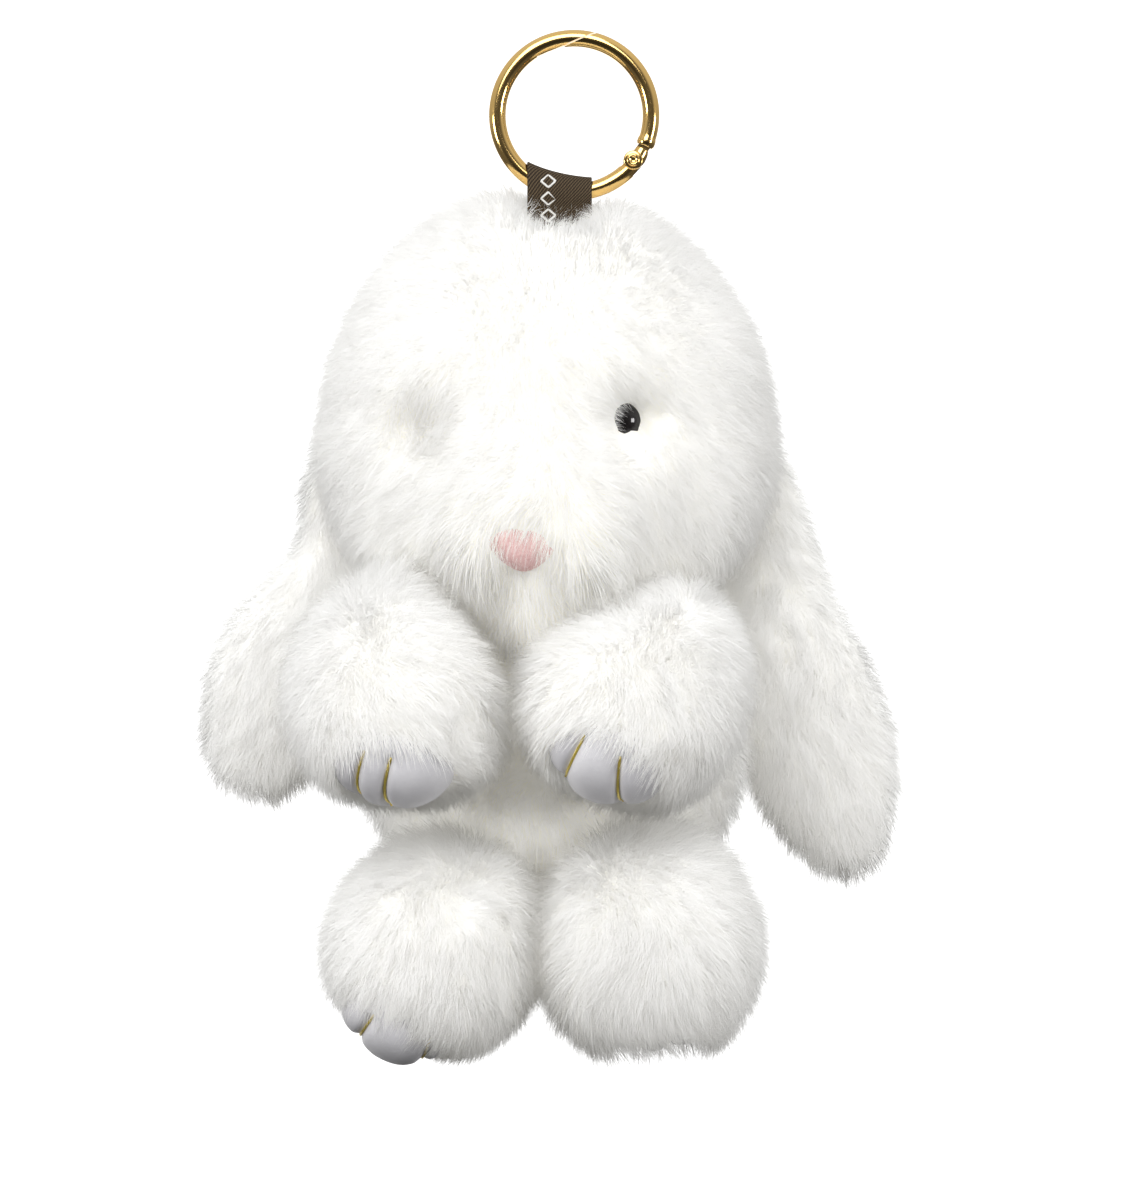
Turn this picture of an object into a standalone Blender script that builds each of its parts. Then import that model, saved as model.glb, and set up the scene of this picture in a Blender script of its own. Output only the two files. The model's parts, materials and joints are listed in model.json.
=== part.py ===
"""Plush rabbit keychain: fur charm on a spring-gate ring with a ribbon loop.

Run with: blender --background --python part.py
Metres, +Z up, +X to the viewer's right, the rabbit faces -Y.  The origin is the
inner top of the ring, where the ring hangs on a finger or a hook.
"""
import math

import bmesh
import bpy
from mathutils import Matrix, Vector
from mathutils.bvhtree import BVHTree

MM = 0.001
GAP = 0.3 * MM                     # between pieces that touch in the real object

# Ring: a cast ring with a spring gate
RING_INNER_R = 14.0 * MM
WIRE_R = 1.75 * MM
RING_R = RING_INNER_R + WIRE_R
RING_CENTRE = Vector((0.0, 0.0, -RING_INNER_R))
HINGE_ANGLE = math.radians(-38.0)  # the rivet, seen from the front
SPLIT_ANGLE = math.radians(-24.0)  # where the gate leaves the sleeve
TIP_ANGLE = math.radians(84.0)     # middle of the slanted joint at the free end
SCARF_ANGLE = math.radians(14.0)   # half of the slanted joint's reach
SCARF_BLOCK = 20.0 * MM            # height of the block that cuts it
SLEEVE_GAP = 0.7 * MM
KNUCKLE_R = 2.6 * MM
KNUCKLE_HALF = 1.95 * MM           # half of the sleeve's width along the pin
TONGUE_R = 1.6 * MM
SLOT_HALF = 0.85 * MM
TONGUE_Y = (-0.7 * MM, 0.1 * MM)
PIN_R = 0.6 * MM
PIN_CLEARANCE = 0.05 * MM
RIVET_HEAD_R = 1.35 * MM
RIVET_HEAD_H = 0.45 * MM
SPRING_R = 0.95 * MM
SPRING_WIRE_R = 0.13 * MM
SPRING_PITCH = 0.34 * MM
SPRING_TURNS = 1.0

# Ribbon
RIBBON_WIDTH = 13.2 * MM
RIBBON_LEFT = -9.6 * MM
RIBBON_THICKNESS = 0.5 * MM
RIBBON_FLEX_Z = -34.4 * MM         # where the ribbon bends as the plush swings
RIBBON_ROOT_DEPTH = 7.5 * MM

# Plush parts: centre, half sizes and pelt thickness
HEAD = {"centre": (-5.5, 0.0, -75.0), "half": (42.5, 34.0, 39.5), "pelt": 6.5}
TORSO = {"centre": (-4.5, 8.0, -144.6), "half": (37.5, 22.5, 29.0), "pelt": 5.5}
ARM_HALF = (19.0, 16.5, 25.0)
ARM_CENTRE = {"left": (-34.5, -31.5, -131.0), "right": (12.5, -32.0, -131.0)}
ARM_TILT = 42.0                    # degrees forward from hanging straight down
ARM_LEAN = {"left": 2.0, "right": 19.0}  # paw towards the middle
LEG_HALF = (18.8, 15.5, 20.8)
LEG_CENTRE = {"left": (-27.3, -18.5, -182.5), "right": (14.6, -18.5, -182.0)}
LEG_TILT = {"left": (16.0, -30.0), "right": (2.0, 3.0)}
LIMB_PELT = 4.5
PAD_THICKNESS = 1.2
EAR_ROOT = {"left": (-47.6, 15.0, -78.0), "right": (37.5, 15.0, -80.0)}
EAR_LENGTH = {"left": 76.0, "right": 90.0}
EAR_TILT = {"left": 12.0, "right": 10.0}
EAR_HALF_WIDTH = 15.5
EAR_HALF_DEPTH = 5.5
TAIL_CENTRE = (-5.0, 38.3, -159.0)
TAIL_R = 9.0

# Face
EYE_XZ = {"left": (-29.9, -76.1), "right": (9.8, -76.9)}
EYE_R = 4.0
EYE_RISE = 3.0                     # height of the dome
EYE_SINK = 1.2                     # how far its top lies below the pile
NOSE_XZ = (-10.0, -104.2)
NOSE_HALF = (5.4, 2.2, 3.6)

COLLECTION = "plush_keychain"


def mm(values):
    """A vector in metres from millimetres."""
    return Vector(values) * MM


def clear_scene():
    """Remove whatever the file holds, then make the two collections."""
    for obj in list(bpy.data.objects):
        bpy.data.objects.remove(obj, do_unlink=True)
    parts = bpy.data.collections.new(COLLECTION)
    cutters = bpy.data.collections.new("cutters")
    bpy.context.scene.collection.children.link(parts)
    bpy.context.scene.collection.children.link(cutters)
    return parts, cutters


PARTS, CUTTERS = clear_scene()


def material(name, color, roughness, metallic=0.0):
    """A Principled material, made once for each name."""
    mat = bpy.data.materials.new(name)
    mat.use_nodes = True
    shader = mat.node_tree.nodes["Principled BSDF"]
    shader.inputs["Base Color"].default_value = (*color, 1.0)
    shader.inputs["Roughness"].default_value = roughness
    shader.inputs["Metallic"].default_value = metallic
    mat.diffuse_color = (*color, 1.0)
    return mat


GOLD = material("polished_gold", (0.83, 0.62, 0.27), 0.12, 1.0)
STEEL = material("spring_steel", (0.55, 0.55, 0.56), 0.3, 1.0)
RIBBON = material("brown_ribbon", (0.07, 0.05, 0.03), 0.8)
FUR = material("white_fur", (0.9, 0.9, 0.88), 0.95)
FILL = material("polyester_stuffing", (0.85, 0.85, 0.83), 1.0)
LEATHER = material("grey_leather", (0.6, 0.58, 0.62), 0.55)
THREAD = material("gold_thread", (0.6, 0.45, 0.08), 0.35, 0.6)
EYE_BLACK = material("black_eye", (0.01, 0.01, 0.012), 0.05)
NOSE_PINK = material("pink_nose", (0.85, 0.5, 0.48), 0.7)
WASHER = material("washer_plastic", (0.8, 0.8, 0.78), 0.5)


def new_object(name, mesh, mat, collection=PARTS):
    """Link a mesh as a named object with its material."""
    mesh.name = name
    if mat is not None:
        mesh.materials.append(mat)
    obj = bpy.data.objects.new(name, mesh)
    collection.objects.link(obj)
    return obj


def mesh_from(bm, name):
    """Turn a bmesh into mesh data."""
    bmesh.ops.recalc_face_normals(bm, faces=bm.faces)
    mesh = bpy.data.meshes.new(name)
    bm.to_mesh(mesh)
    bm.free()
    return mesh


def cut(obj, cutter, operation="DIFFERENCE"):
    """An exact Boolean with a cutter that never shows."""
    cutter.hide_render = True
    cutter.display_type = "WIRE"
    modifier = obj.modifiers.new(cutter.name, "BOOLEAN")
    modifier.operation = operation
    modifier.solver = "EXACT"
    modifier.object = cutter


def box_cutter(name, size, place):
    """A box among the cutters, placed by a matrix."""
    bm = bmesh.new()
    bmesh.ops.create_cube(bm, size=1.0, matrix=Matrix.Diagonal((*size, 1.0)))
    obj = new_object(name, mesh_from(bm, name), None, CUTTERS)
    obj.matrix_world = place
    return obj


def rod_mesh(name, radius, length, segments=24):
    """A cylinder along local Z, from 0 to its length."""
    bm = bmesh.new()
    lift = Matrix.Translation((0.0, 0.0, length / 2.0))
    bmesh.ops.create_cone(bm, cap_ends=True, segments=segments, radius1=radius,
                          radius2=radius, depth=length, matrix=lift)
    return mesh_from(bm, name)


def rod_cutter(name, radius, length, place, segments=24):
    """A cylinder among the cutters, placed by a matrix."""
    obj = new_object(name, rod_mesh(name, radius, length, segments), None, CUTTERS)
    obj.matrix_world = place
    return obj


def curve_mesh(name, points, radius, resolution=3):
    """A capped tube along points, as closed mesh data."""
    curve = bpy.data.curves.new(name, "CURVE")
    curve.dimensions = "3D"
    curve.bevel_depth = radius
    curve.bevel_resolution = resolution
    curve.use_fill_caps = True
    spline = curve.splines.new("POLY")
    spline.points.add(len(points) - 1)
    for slot, point in zip(spline.points, points):
        slot.co = (*point, 1.0)
    holder = bpy.data.objects.new(name, curve)
    CUTTERS.objects.link(holder)
    depsgraph = bpy.context.evaluated_depsgraph_get()
    mesh = bpy.data.meshes.new_from_object(holder.evaluated_get(depsgraph))
    bpy.data.objects.remove(holder, do_unlink=True)
    bm = bmesh.new()
    bm.from_mesh(mesh)
    bmesh.ops.remove_doubles(bm, verts=bm.verts, dist=0.001 * MM)
    bm.to_mesh(mesh)
    bm.free()
    return mesh


# ---------------------------------------------------------------- ring and gate

def ring_point(angle, radius=RING_R):
    """A point of the ring's centreline, in the XZ plane."""
    return RING_CENTRE + Vector((math.cos(angle), 0.0, math.sin(angle))) * radius


def ring_arc(start, end, steps):
    """Points of the centreline between two angles, steps counted inclusive."""
    turn = (end - start) / (steps - 1)
    return [ring_point(start + turn * i) for i in range(steps)]


HINGE = ring_point(HINGE_ANGLE, RING_R - 0.45 * MM)


def hinge_frame():
    """A matrix at the hinge: X outward, Y along the pin, Z up the gate."""
    outward = (HINGE - RING_CENTRE).normalized()
    back = Vector((0.0, 1.0, 0.0))
    along = outward.cross(back)
    frame = Matrix((outward, back, along)).transposed().to_4x4()
    frame.translation = HINGE
    return frame


def pin_frame(offset_y):
    """A matrix at the hinge whose Z runs along the pin, to the back."""
    frame = Matrix.Rotation(-math.pi / 2.0, 4, "X")
    frame.translation = HINGE + Vector((0.0, offset_y, 0.0))
    return frame


def scarf_frame(side):
    """A block just inside (-1) or outside (+1) the slanted joint's plane.

    The plane holds the gate tip's own way of moving about the hinge, so the
    gate leaves the ring's end without rubbing.
    """
    tip = ring_point(TIP_ANGLE)
    reach = (tip - HINGE).normalized()
    back = Vector((0.0, 1.0, 0.0))
    frame = Matrix((back.cross(reach), back, reach)).transposed().to_4x4()
    frame.translation = tip + reach * side * (SCARF_BLOCK / 2.0 - GAP / 2.0)
    return frame


def add_scarf_cut(obj, side):
    """Cut an end of the ring or gate along the slanted joint."""
    length = RING_R * SCARF_ANGLE * 3.0
    size = (length, 3.0 * WIRE_R, SCARF_BLOCK)
    cut(obj, box_cutter(obj.name + "_scarf", size, scarf_frame(side)))


def make_ring_body():
    """The fixed part of the ring, with the slotted sleeve at the hinge."""
    start = TIP_ANGLE - SCARF_ANGLE
    end = 2.0 * math.pi + SPLIT_ANGLE - SLEEVE_GAP / RING_R
    mesh = curve_mesh("ring_body", ring_arc(start, end, 42), WIRE_R, 3)
    ring = new_object("ring_body", mesh, GOLD)
    knuckle = rod_cutter("knuckle", KNUCKLE_R, 2.0 * KNUCKLE_HALF, pin_frame(-KNUCKLE_HALF))
    cut(ring, knuckle, "UNION")
    along = hinge_frame() @ Matrix.Translation((0.0, 0.0, 3.0 * MM))
    cut(ring, box_cutter("sleeve_slot", (12.0 * MM, 2.0 * SLOT_HALF, 11.0 * MM), along))
    bore = rod_cutter("ring_bore", PIN_R + PIN_CLEARANCE, 12.0 * MM, pin_frame(-6.0 * MM))
    cut(ring, bore)
    add_scarf_cut(ring, -1.0)


def make_gate():
    """The spring gate, a tube with a flat tongue that turns on the pin."""
    arc = ring_arc(SPLIT_ANGLE, TIP_ANGLE + SCARF_ANGLE, 24)
    gate = new_object("ring_gate", curve_mesh("ring_gate", arc, WIRE_R, 3), GOLD)
    middle = (TONGUE_Y[0] + TONGUE_Y[1]) / 2.0
    width = TONGUE_Y[1] - TONGUE_Y[0]
    tongue_up = 5.2 * MM
    place = hinge_frame() @ Matrix.Translation((0.0, middle, tongue_up / 2.0))
    cut(gate, box_cutter("tongue", (2.4 * MM, width, tongue_up), place), "UNION")
    eye = rod_cutter("tongue_eye", TONGUE_R, width, pin_frame(TONGUE_Y[0]))
    cut(gate, eye, "UNION")
    bore = rod_cutter("gate_bore", PIN_R + PIN_CLEARANCE, 12.0 * MM, pin_frame(-6.0 * MM))
    cut(gate, bore)
    add_scarf_cut(gate, 1.0)


def make_hinge_pin():
    """The rivet: a turned pin with a dished head on each side."""
    half = KNUCKLE_HALF + 0.05 * MM
    top = half + RIVET_HEAD_H
    profile = [(0.0, top - 0.3 * MM), (0.55 * MM, top - 0.25 * MM), (0.8 * MM, top),
               (1.1 * MM, top), (RIVET_HEAD_R, top - 0.25 * MM), (RIVET_HEAD_R, half),
               (PIN_R, half)]
    profile += [(r, -z) for r, z in reversed(profile)]
    bm = bmesh.new()
    verts = [bm.verts.new((r, 0.0, z)) for r, z in profile]
    for a, b in zip(verts, verts[1:]):
        bm.edges.new((a, b))
    mesh = bpy.data.meshes.new("hinge_pin")
    bm.to_mesh(mesh)
    bm.free()
    pin = new_object("hinge_pin", mesh, GOLD)
    turn = pin.modifiers.new("turn", "SCREW")
    turn.steps = turn.render_steps = 16
    turn.use_merge_vertices = True
    turn.merge_threshold = 0.00001
    pin.matrix_world = pin_frame(0.0)


def make_gate_spring():
    """The small torsion coil beside the tongue, inside the sleeve's slot."""
    count = int(SPRING_TURNS * 14) + 1
    low = TONGUE_Y[1] + 0.18 * MM
    points = []
    for i in range(count):
        angle = 2.0 * math.pi * i / 14.0
        rise = low + SPRING_PITCH * i / 14.0
        points.append((SPRING_R * math.cos(angle), SPRING_R * math.sin(angle), rise))
    mesh = curve_mesh("gate_spring", points, SPRING_WIRE_R, 1)
    spring = new_object("gate_spring", mesh, STEEL)
    spring.matrix_world = pin_frame(0.0)


# ----------------------------------------------------------------------- ribbon

def ribbon_profile(x):
    """Half of the loop's centreline in (y, z), top first, for the column at x."""
    drop = math.sqrt(RING_R ** 2 - x ** 2)
    wire_z = RING_CENTRE.z - drop
    room = GAP + RIBBON_THICKNESS / 2.0
    across = WIRE_R + room
    upright = WIRE_R * RING_R / drop + room
    closed = RIBBON_THICKNESS / 2.0 + GAP / 2.0
    arc = [math.radians(90.0 - 110.0 * i / 7.0) for i in range(8)]
    points = [(across * math.cos(a), wire_z + upright * math.sin(a)) for a in arc]
    join_z = RIBBON_FLEX_Z + 1.0 * MM
    last_y, last_z = points[-1]
    for i in range(1, 4):
        share = i / 3.0
        ease = share * share * (3.0 - 2.0 * share)
        points.append((last_y + (closed - last_y) * ease, last_z + (join_z - last_z) * share))
    points.append((closed, RIBBON_FLEX_Z + 0.25 * MM))
    return points


def make_strap_loop():
    """The ribbon's loop over the ring's wire, down to its flex line."""
    columns = 7
    bm = bmesh.new()
    rows = []
    for i in range(columns):
        x = RIBBON_LEFT + RIBBON_WIDTH * i / (columns - 1)
        half = ribbon_profile(x)
        full = [(-y, z) for y, z in reversed(half)] + half[1:]
        rows.append([bm.verts.new((x, y, z)) for y, z in full])
    for left, right in zip(rows, rows[1:]):
        for k in range(len(left) - 1):
            bm.faces.new((left[k], left[k + 1], right[k + 1], right[k]))
    strap = new_object("strap_loop", mesh_from(bm, "strap_loop"), RIBBON)
    skin = strap.modifiers.new("thickness", "SOLIDIFY")
    skin.thickness = RIBBON_THICKNESS
    skin.offset = 0.0
    return strap


def make_strap_root():
    """The two ribbon ends, folded together and sewn inside the crown."""
    size = (RIBBON_WIDTH, 2.0 * RIBBON_THICKNESS + GAP, RIBBON_ROOT_DEPTH)
    bm = bmesh.new()
    bmesh.ops.create_cube(bm, size=1.0, matrix=Matrix.Diagonal((*size, 1.0)))
    root = new_object("strap_root", mesh_from(bm, "strap_root"), RIBBON)
    top = RIBBON_FLEX_Z - 0.25 * MM
    root.location = (RIBBON_LEFT + RIBBON_WIDTH / 2.0, 0.0, top - size[2] / 2.0)


def make_strap_stitches():
    """A bar of thread across the front of the sewn ribbon ends."""
    y = -(RIBBON_THICKNESS + GAP / 2.0) - 0.35 * MM
    z = RIBBON_FLEX_Z - RIBBON_ROOT_DEPTH + 2.0 * MM
    right = RIBBON_LEFT + RIBBON_WIDTH
    points = [(RIBBON_LEFT + 1.0 * MM, y, z), (right - 1.0 * MM, y, z)]
    mesh = curve_mesh("strap_stitch", points, 0.25 * MM, 2)
    new_object("strap_stitch", mesh, RIBBON)


# ------------------------------------------------------------------ plush shapes

def gauss(distance, width):
    """A smooth bump of height 1."""
    return math.exp(-(distance / width) ** 2)


def head_shape(direction):
    """Where the head's surface lies, in mm, along a unit direction."""
    x, y, z = (direction[i] * HEAD["half"][i] for i in range(3))
    crown = max(0.0, direction.z)
    y *= 1.0 + 0.03 * crown
    x *= 1.0 + 0.04 * math.sin(math.pi * max(0.0, -direction.z)) - 0.03 * crown
    point = Vector((x, y, z))
    front = max(0.0, -direction.y)
    muzzle = gauss((point - Vector((-1.0, -28.0, -22.0))).length, 19.0)
    point += Vector((0.0, -8.5, -1.5)) * muzzle
    for eye_x, eye_z in EYE_XZ.values():
        away = math.hypot(eye_x - HEAD["centre"][0] - point.x, eye_z - HEAD["centre"][2] - point.z)
        point.y += 2.5 * gauss(away, 9.0) * (1.0 if front > 0.2 else 0.0)
    return point


def torso_shape(direction):
    """A pear: wider low down than at the neck."""
    point = Vector([direction[i] * TORSO["half"][i] for i in range(3)])
    point.x *= 1.0 - 0.10 * direction.z
    point.y *= 1.0 - 0.08 * direction.z
    return point


def arm_shape(direction):
    """A stubby arm with its paw at local -Z, fuller at the paw."""
    point = Vector([direction[i] * ARM_HALF[i] for i in range(3)])
    point.x *= 1.0 - 0.08 * direction.z
    return point


def leg_shape(direction):
    """A stubby leg with its sole at local -Z, flatter at the sole."""
    point = Vector([direction[i] * LEG_HALF[i] for i in range(3)])
    swell = 1.0 - 0.07 * direction.z
    return Vector((point.x * swell, point.y * swell, point.z))


def shaped_sphere(shape, around, rows, open_top=0, open_bottom=0, keep_cap=0):
    """A sphere of quads pushed to a shape, with rows left off at the poles.

    keep_cap keeps only that many rows at the bottom pole, for a pad.
    """
    bm = bmesh.new()
    bmesh.ops.create_uvsphere(bm, u_segments=around, v_segments=rows, radius=1.0)
    step = math.pi / rows
    drop = []
    for face in bm.faces:
        middle = sum((v.co.z for v in face.verts), 0.0) / len(face.verts)
        row = int(math.acos(max(-1.0, min(1.0, middle))) / step)
        from_bottom = rows - 1 - row
        outside = row < open_top or from_bottom < open_bottom
        if outside or (keep_cap and from_bottom >= keep_cap):
            drop.append(face)
    bmesh.ops.delete(bm, geom=drop, context="FACES")
    for vert in bm.verts:
        vert.co = shape(vert.co.normalized()) * MM
    return bm


def add_shell(obj, thickness):
    """Thicken an open surface inwards."""
    shell = obj.modifiers.new("thickness", "SOLIDIFY")
    shell.thickness = thickness * MM
    shell.offset = -1.0
    shell.use_even_offset = True


def sunk_sphere(name, shape, around, rows, depth, mat):
    """A closed solid of the same shape, sunk below its surface by depth mm."""
    bm = shaped_sphere(shape, around, rows)
    bmesh.ops.recalc_face_normals(bm, faces=bm.faces)
    bm.normal_update()
    moves = [vert.normal * depth * MM for vert in bm.verts]
    for vert, move in zip(bm.verts, moves):
        vert.co -= move
    return new_object(name, mesh_from(bm, name), mat)


def pelt(name, shape, around, rows, thickness, open_top=0, open_bottom=0):
    """A fur pelt, pile and skin together, as a shell open at its seams."""
    bm = shaped_sphere(shape, around, rows, open_top, open_bottom)
    obj = new_object(name, mesh_from(bm, name), FUR)
    add_shell(obj, thickness)
    return obj


# ------------------------------------------------------------------------- head

def head_surface_hit(x, z):
    """The front of the head at x, z in mm: the point and the outward normal."""
    bm = shaped_sphere(head_shape, 48, 32)
    bmesh.ops.recalc_face_normals(bm, faces=bm.faces)
    tree = BVHTree.FromBMesh(bm)
    bm.free()
    centre = mm(HEAD["centre"])
    start = mm((x, -90.0, z)) - centre
    point, normal, _, _ = tree.ray_cast(start, Vector((0.0, 1.0, 0.0)))
    return point + centre, normal


def face_frame(x, z, lean=0.6):
    """A matrix on the head's front whose Z points out, part way to the normal."""
    point, normal = head_surface_hit(x, z)
    out = (normal * lean + Vector((0.0, -1.0, 0.0)) * (1.0 - lean)).normalized()
    frame = out.to_track_quat("Z", "Y").to_matrix().to_4x4()
    frame.translation = point
    return frame


def make_eye(side, pelt_obj, stuffing):
    """A glossy eye on a shank through the pelt, held by a washer behind it."""
    frame = face_frame(*EYE_XZ[side])
    sink = Matrix.Translation((0.0, 0.0, -(EYE_SINK + EYE_RISE) * MM))
    dome_back = -0.5 * MM
    shank_r = 1.1 * MM
    shank_end = -6.4 * MM
    profile = [(0.0, EYE_RISE * MM)]
    for angle in (70.0, 50.0, 30.0, 12.0, 0.0):
        turn = math.radians(angle)
        profile.append((EYE_R * MM * math.cos(turn), EYE_RISE * MM * math.sin(turn)))
    profile += [(EYE_R * MM, dome_back), (shank_r, dome_back), (shank_r, shank_end),
                (0.0, shank_end)]
    bm = bmesh.new()
    verts = [bm.verts.new((r, 0.0, z)) for r, z in profile]
    for a, b in zip(verts, verts[1:]):
        bm.edges.new((a, b))
    mesh = bpy.data.meshes.new("eye_" + side)
    bm.to_mesh(mesh)
    bm.free()
    eye = new_object("eye_" + side, mesh, EYE_BLACK)
    turn = eye.modifiers.new("turn", "SCREW")
    turn.steps = turn.render_steps = 16
    turn.use_merge_vertices = True
    turn.merge_threshold = 0.00001
    eye.matrix_world = frame @ sink

    pocket = frame @ sink @ Matrix.Translation((0.0, 0.0, dome_back - GAP))
    cut(pelt_obj, rod_cutter("eye_pocket_" + side, EYE_R * MM + GAP, 30.0 * MM, pocket))
    hole = frame @ Matrix.Translation((0.0, 0.0, -15.0 * MM))
    cut(pelt_obj, rod_cutter("shank_hole_" + side, shank_r + GAP, 20.0 * MM, hole, 16))

    washer_z = -(HEAD["pelt"] + 1.4) * MM
    place = frame @ Matrix.Translation((0.0, 0.0, washer_z - 1.1 * MM))
    washer = new_object("eye_washer_" + side, rod_mesh("washer", 4.5 * MM, 1.1 * MM, 16), WASHER)
    washer.matrix_world = place
    cut(washer, rod_cutter("washer_hole_" + side, shank_r + 0.1 * MM, 20.0 * MM, hole, 16))
    room = frame @ Matrix.Translation((0.0, 0.0, washer_z - 3.4 * MM))
    cut(stuffing, rod_cutter("washer_room_" + side, 5.0 * MM, 20.0 * MM, room))


def make_nose(pelt_obj):
    """A small soft triangle set in the muzzle's pile."""
    frame = face_frame(*NOSE_XZ, lean=0.4)
    bm = bmesh.new()
    bmesh.ops.create_uvsphere(bm, u_segments=14, v_segments=8, radius=1.0)
    for vert in bm.verts:
        taper = 1.0 + 0.35 * vert.co.y
        vert.co = Vector((vert.co.x * NOSE_HALF[0] * taper, vert.co.y * NOSE_HALF[2],
                          vert.co.z * NOSE_HALF[1])) * MM
    nose = new_object("nose", mesh_from(bm, "nose"), NOSE_PINK)
    nose.matrix_world = frame @ Matrix.Translation((0.0, 0.0, -1.4 * MM))
    floor = frame @ Matrix.Translation((0.0, 0.0, -(1.4 + NOSE_HALF[1] + 0.3) * MM))
    radius = (NOSE_HALF[0] * 1.35 + 0.5) * MM
    cut(pelt_obj, rod_cutter("nose_pocket", radius, 20.0 * MM, floor))


def make_head():
    """Pelt, stuffing, eyes, washers and nose."""
    centre = mm(HEAD["centre"])
    pelt_obj = pelt("head_pelt", head_shape, 24, 16, HEAD["pelt"], open_bottom=1)
    pelt_obj.location = centre
    stuffing = sunk_sphere("head_stuffing", head_shape, 18, 12, HEAD["pelt"] + 1.2, FILL)
    stuffing.location = centre
    make_nose(pelt_obj)
    for side in ("left", "right"):
        make_eye(side, pelt_obj, stuffing)
    slot_size = (RIBBON_WIDTH + 2.0 * GAP, 2.6 * MM, 24.0 * MM)
    slot_x = RIBBON_LEFT + RIBBON_WIDTH / 2.0
    place = Matrix.Translation((slot_x, 0.0, RIBBON_FLEX_Z + 3.0 * MM))
    slot = box_cutter("ribbon_slot", slot_size, place)
    cut(pelt_obj, slot)
    cut(stuffing, slot)


# -------------------------------------------------------- torso, limbs and tail

def make_torso():
    """Pelt and stuffing, open at the neck seam."""
    centre = mm(TORSO["centre"])
    skin = pelt("body_pelt", torso_shape, 24, 14, TORSO["pelt"], open_top=1)
    fill = sunk_sphere("body_stuffing", torso_shape, 14, 8, TORSO["pelt"] + 0.9, FILL)
    skin.location = centre
    fill.location = centre


def stitch_points(shape, offset, low, high):
    """A short arc across a pad, just above the leather, at one toe gap."""
    points = []
    for i in range(9):
        swing = math.radians(low + (high - low) * i / 8.0)
        bulge = offset * (1.0 - 0.25 * math.sin(math.pi * i / 8.0))
        direction = Vector((bulge, -math.sin(swing), -math.cos(swing))).normalized()
        point = shape(direction)
        points.append((point + direction * 0.55) * MM)
    return points


def make_limb(name, pad_name, shape, pad_rows, stitch_span):
    """A pelt open at its seam and its paw, a filling, a pad and toe stitches."""
    around = 18
    rows = 10
    sleeve = pelt(name + "_pelt", shape, around, rows, LIMB_PELT, 1, pad_rows)
    fill = sunk_sphere(name + "_stuffing", shape, 12, 7, LIMB_PELT + 1.2, FILL)
    cap = shaped_sphere(shape, around, rows, keep_cap=pad_rows)
    for vert in cap.verts:
        vert.co.x *= 0.975
        vert.co.y *= 0.975
        vert.co.z -= 0.35 * MM
    pad = new_object(pad_name + "_pad", mesh_from(cap, pad_name), LEATHER)
    add_shell(pad, PAD_THICKNESS)
    pieces = [sleeve, fill, pad]
    for index, offset in enumerate((-0.16, 0.16), start=1):
        points = stitch_points(shape, offset, *stitch_span)
        stitch_name = f"{pad_name}_stitch_{index}"
        mesh = curve_mesh(stitch_name, points, 0.3 * MM, 2)
        pieces.append(new_object(stitch_name, mesh, THREAD))
    return pieces


def place_all(pieces, matrix):
    """Put a limb's pieces at its place."""
    for piece in pieces:
        piece.matrix_world = matrix


def make_arms():
    """Both arms, bent forward so that the paw pads face down and front."""
    for side in ("left", "right"):
        pieces = make_limb("arm_" + side, "paw_" + side, arm_shape, 2, (-24.0, 30.0))
        turn = Matrix.Rotation(math.radians(ARM_LEAN[side]), 4, "Y")
        turn = turn @ Matrix.Rotation(math.radians(-ARM_TILT), 4, "X")
        place_all(pieces, Matrix.Translation(mm(ARM_CENTRE[side])) @ turn)


def make_legs():
    """Both legs, with their soles down; the left sole turns a little outward."""
    for side in ("left", "right"):
        pieces = make_limb("leg_" + side, "foot_" + side, leg_shape, 2, (-26.0, 28.0))
        forward, outward = LEG_TILT[side]
        turn = Matrix.Rotation(math.radians(-outward), 4, "Y")
        turn = turn @ Matrix.Rotation(math.radians(-forward), 4, "X")
        place_all(pieces, Matrix.Translation(mm(LEG_CENTRE[side])) @ turn)


def make_tail():
    """A small pompom tail at the back."""
    def tail_shape(direction):
        return direction * TAIL_R

    bm = shaped_sphere(tail_shape, 14, 8)
    tail = new_object("tail", mesh_from(bm, "tail"), FUR)
    tail.location = mm(TAIL_CENTRE)


def make_ear(side):
    """Two pelts sewn back to back: the ear's front and its back."""
    half_length = EAR_LENGTH[side] / 2.0

    def ear_shape(direction):
        low = 0.5 - 0.5 * direction.z
        width = 0.62 + 0.5 * low
        return Vector((direction.x * EAR_HALF_WIDTH * width,
                       direction.y * EAR_HALF_DEPTH * width,
                       direction.z * half_length - half_length))

    sign = -1.0 if side == "left" else 1.0
    lean = Matrix.Rotation(math.radians(-sign * EAR_TILT[side]), 4, "Y")
    for part, keep in (("front", -1.0), ("back", 1.0)):
        bm = shaped_sphere(ear_shape, 16, 12)
        bmesh.ops.recalc_face_normals(bm, faces=bm.faces)
        geometry = bm.verts[:] + bm.edges[:] + bm.faces[:]
        normal = (0.0, -keep, 0.0)
        bmesh.ops.bisect_plane(bm, geom=geometry, plane_co=(0.0, keep * GAP, 0.0),
                               plane_no=normal, clear_outer=True)
        bmesh.ops.holes_fill(bm, edges=[e for e in bm.edges if e.is_boundary])
        name = f"ear_{side}_{part}"
        ear = new_object(name, mesh_from(bm, name), FUR)
        ear.matrix_world = Matrix.Translation(mm(EAR_ROOT[side])) @ lean


def main():
    """Build every piece."""
    make_ring_body()
    make_gate()
    make_hinge_pin()
    make_gate_spring()
    make_strap_loop()
    make_strap_root()
    make_strap_stitches()
    make_head()
    make_torso()
    make_arms()
    make_legs()
    make_tail()
    make_ear("left")
    make_ear("right")
    bpy.context.view_layer.update()


main()
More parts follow.
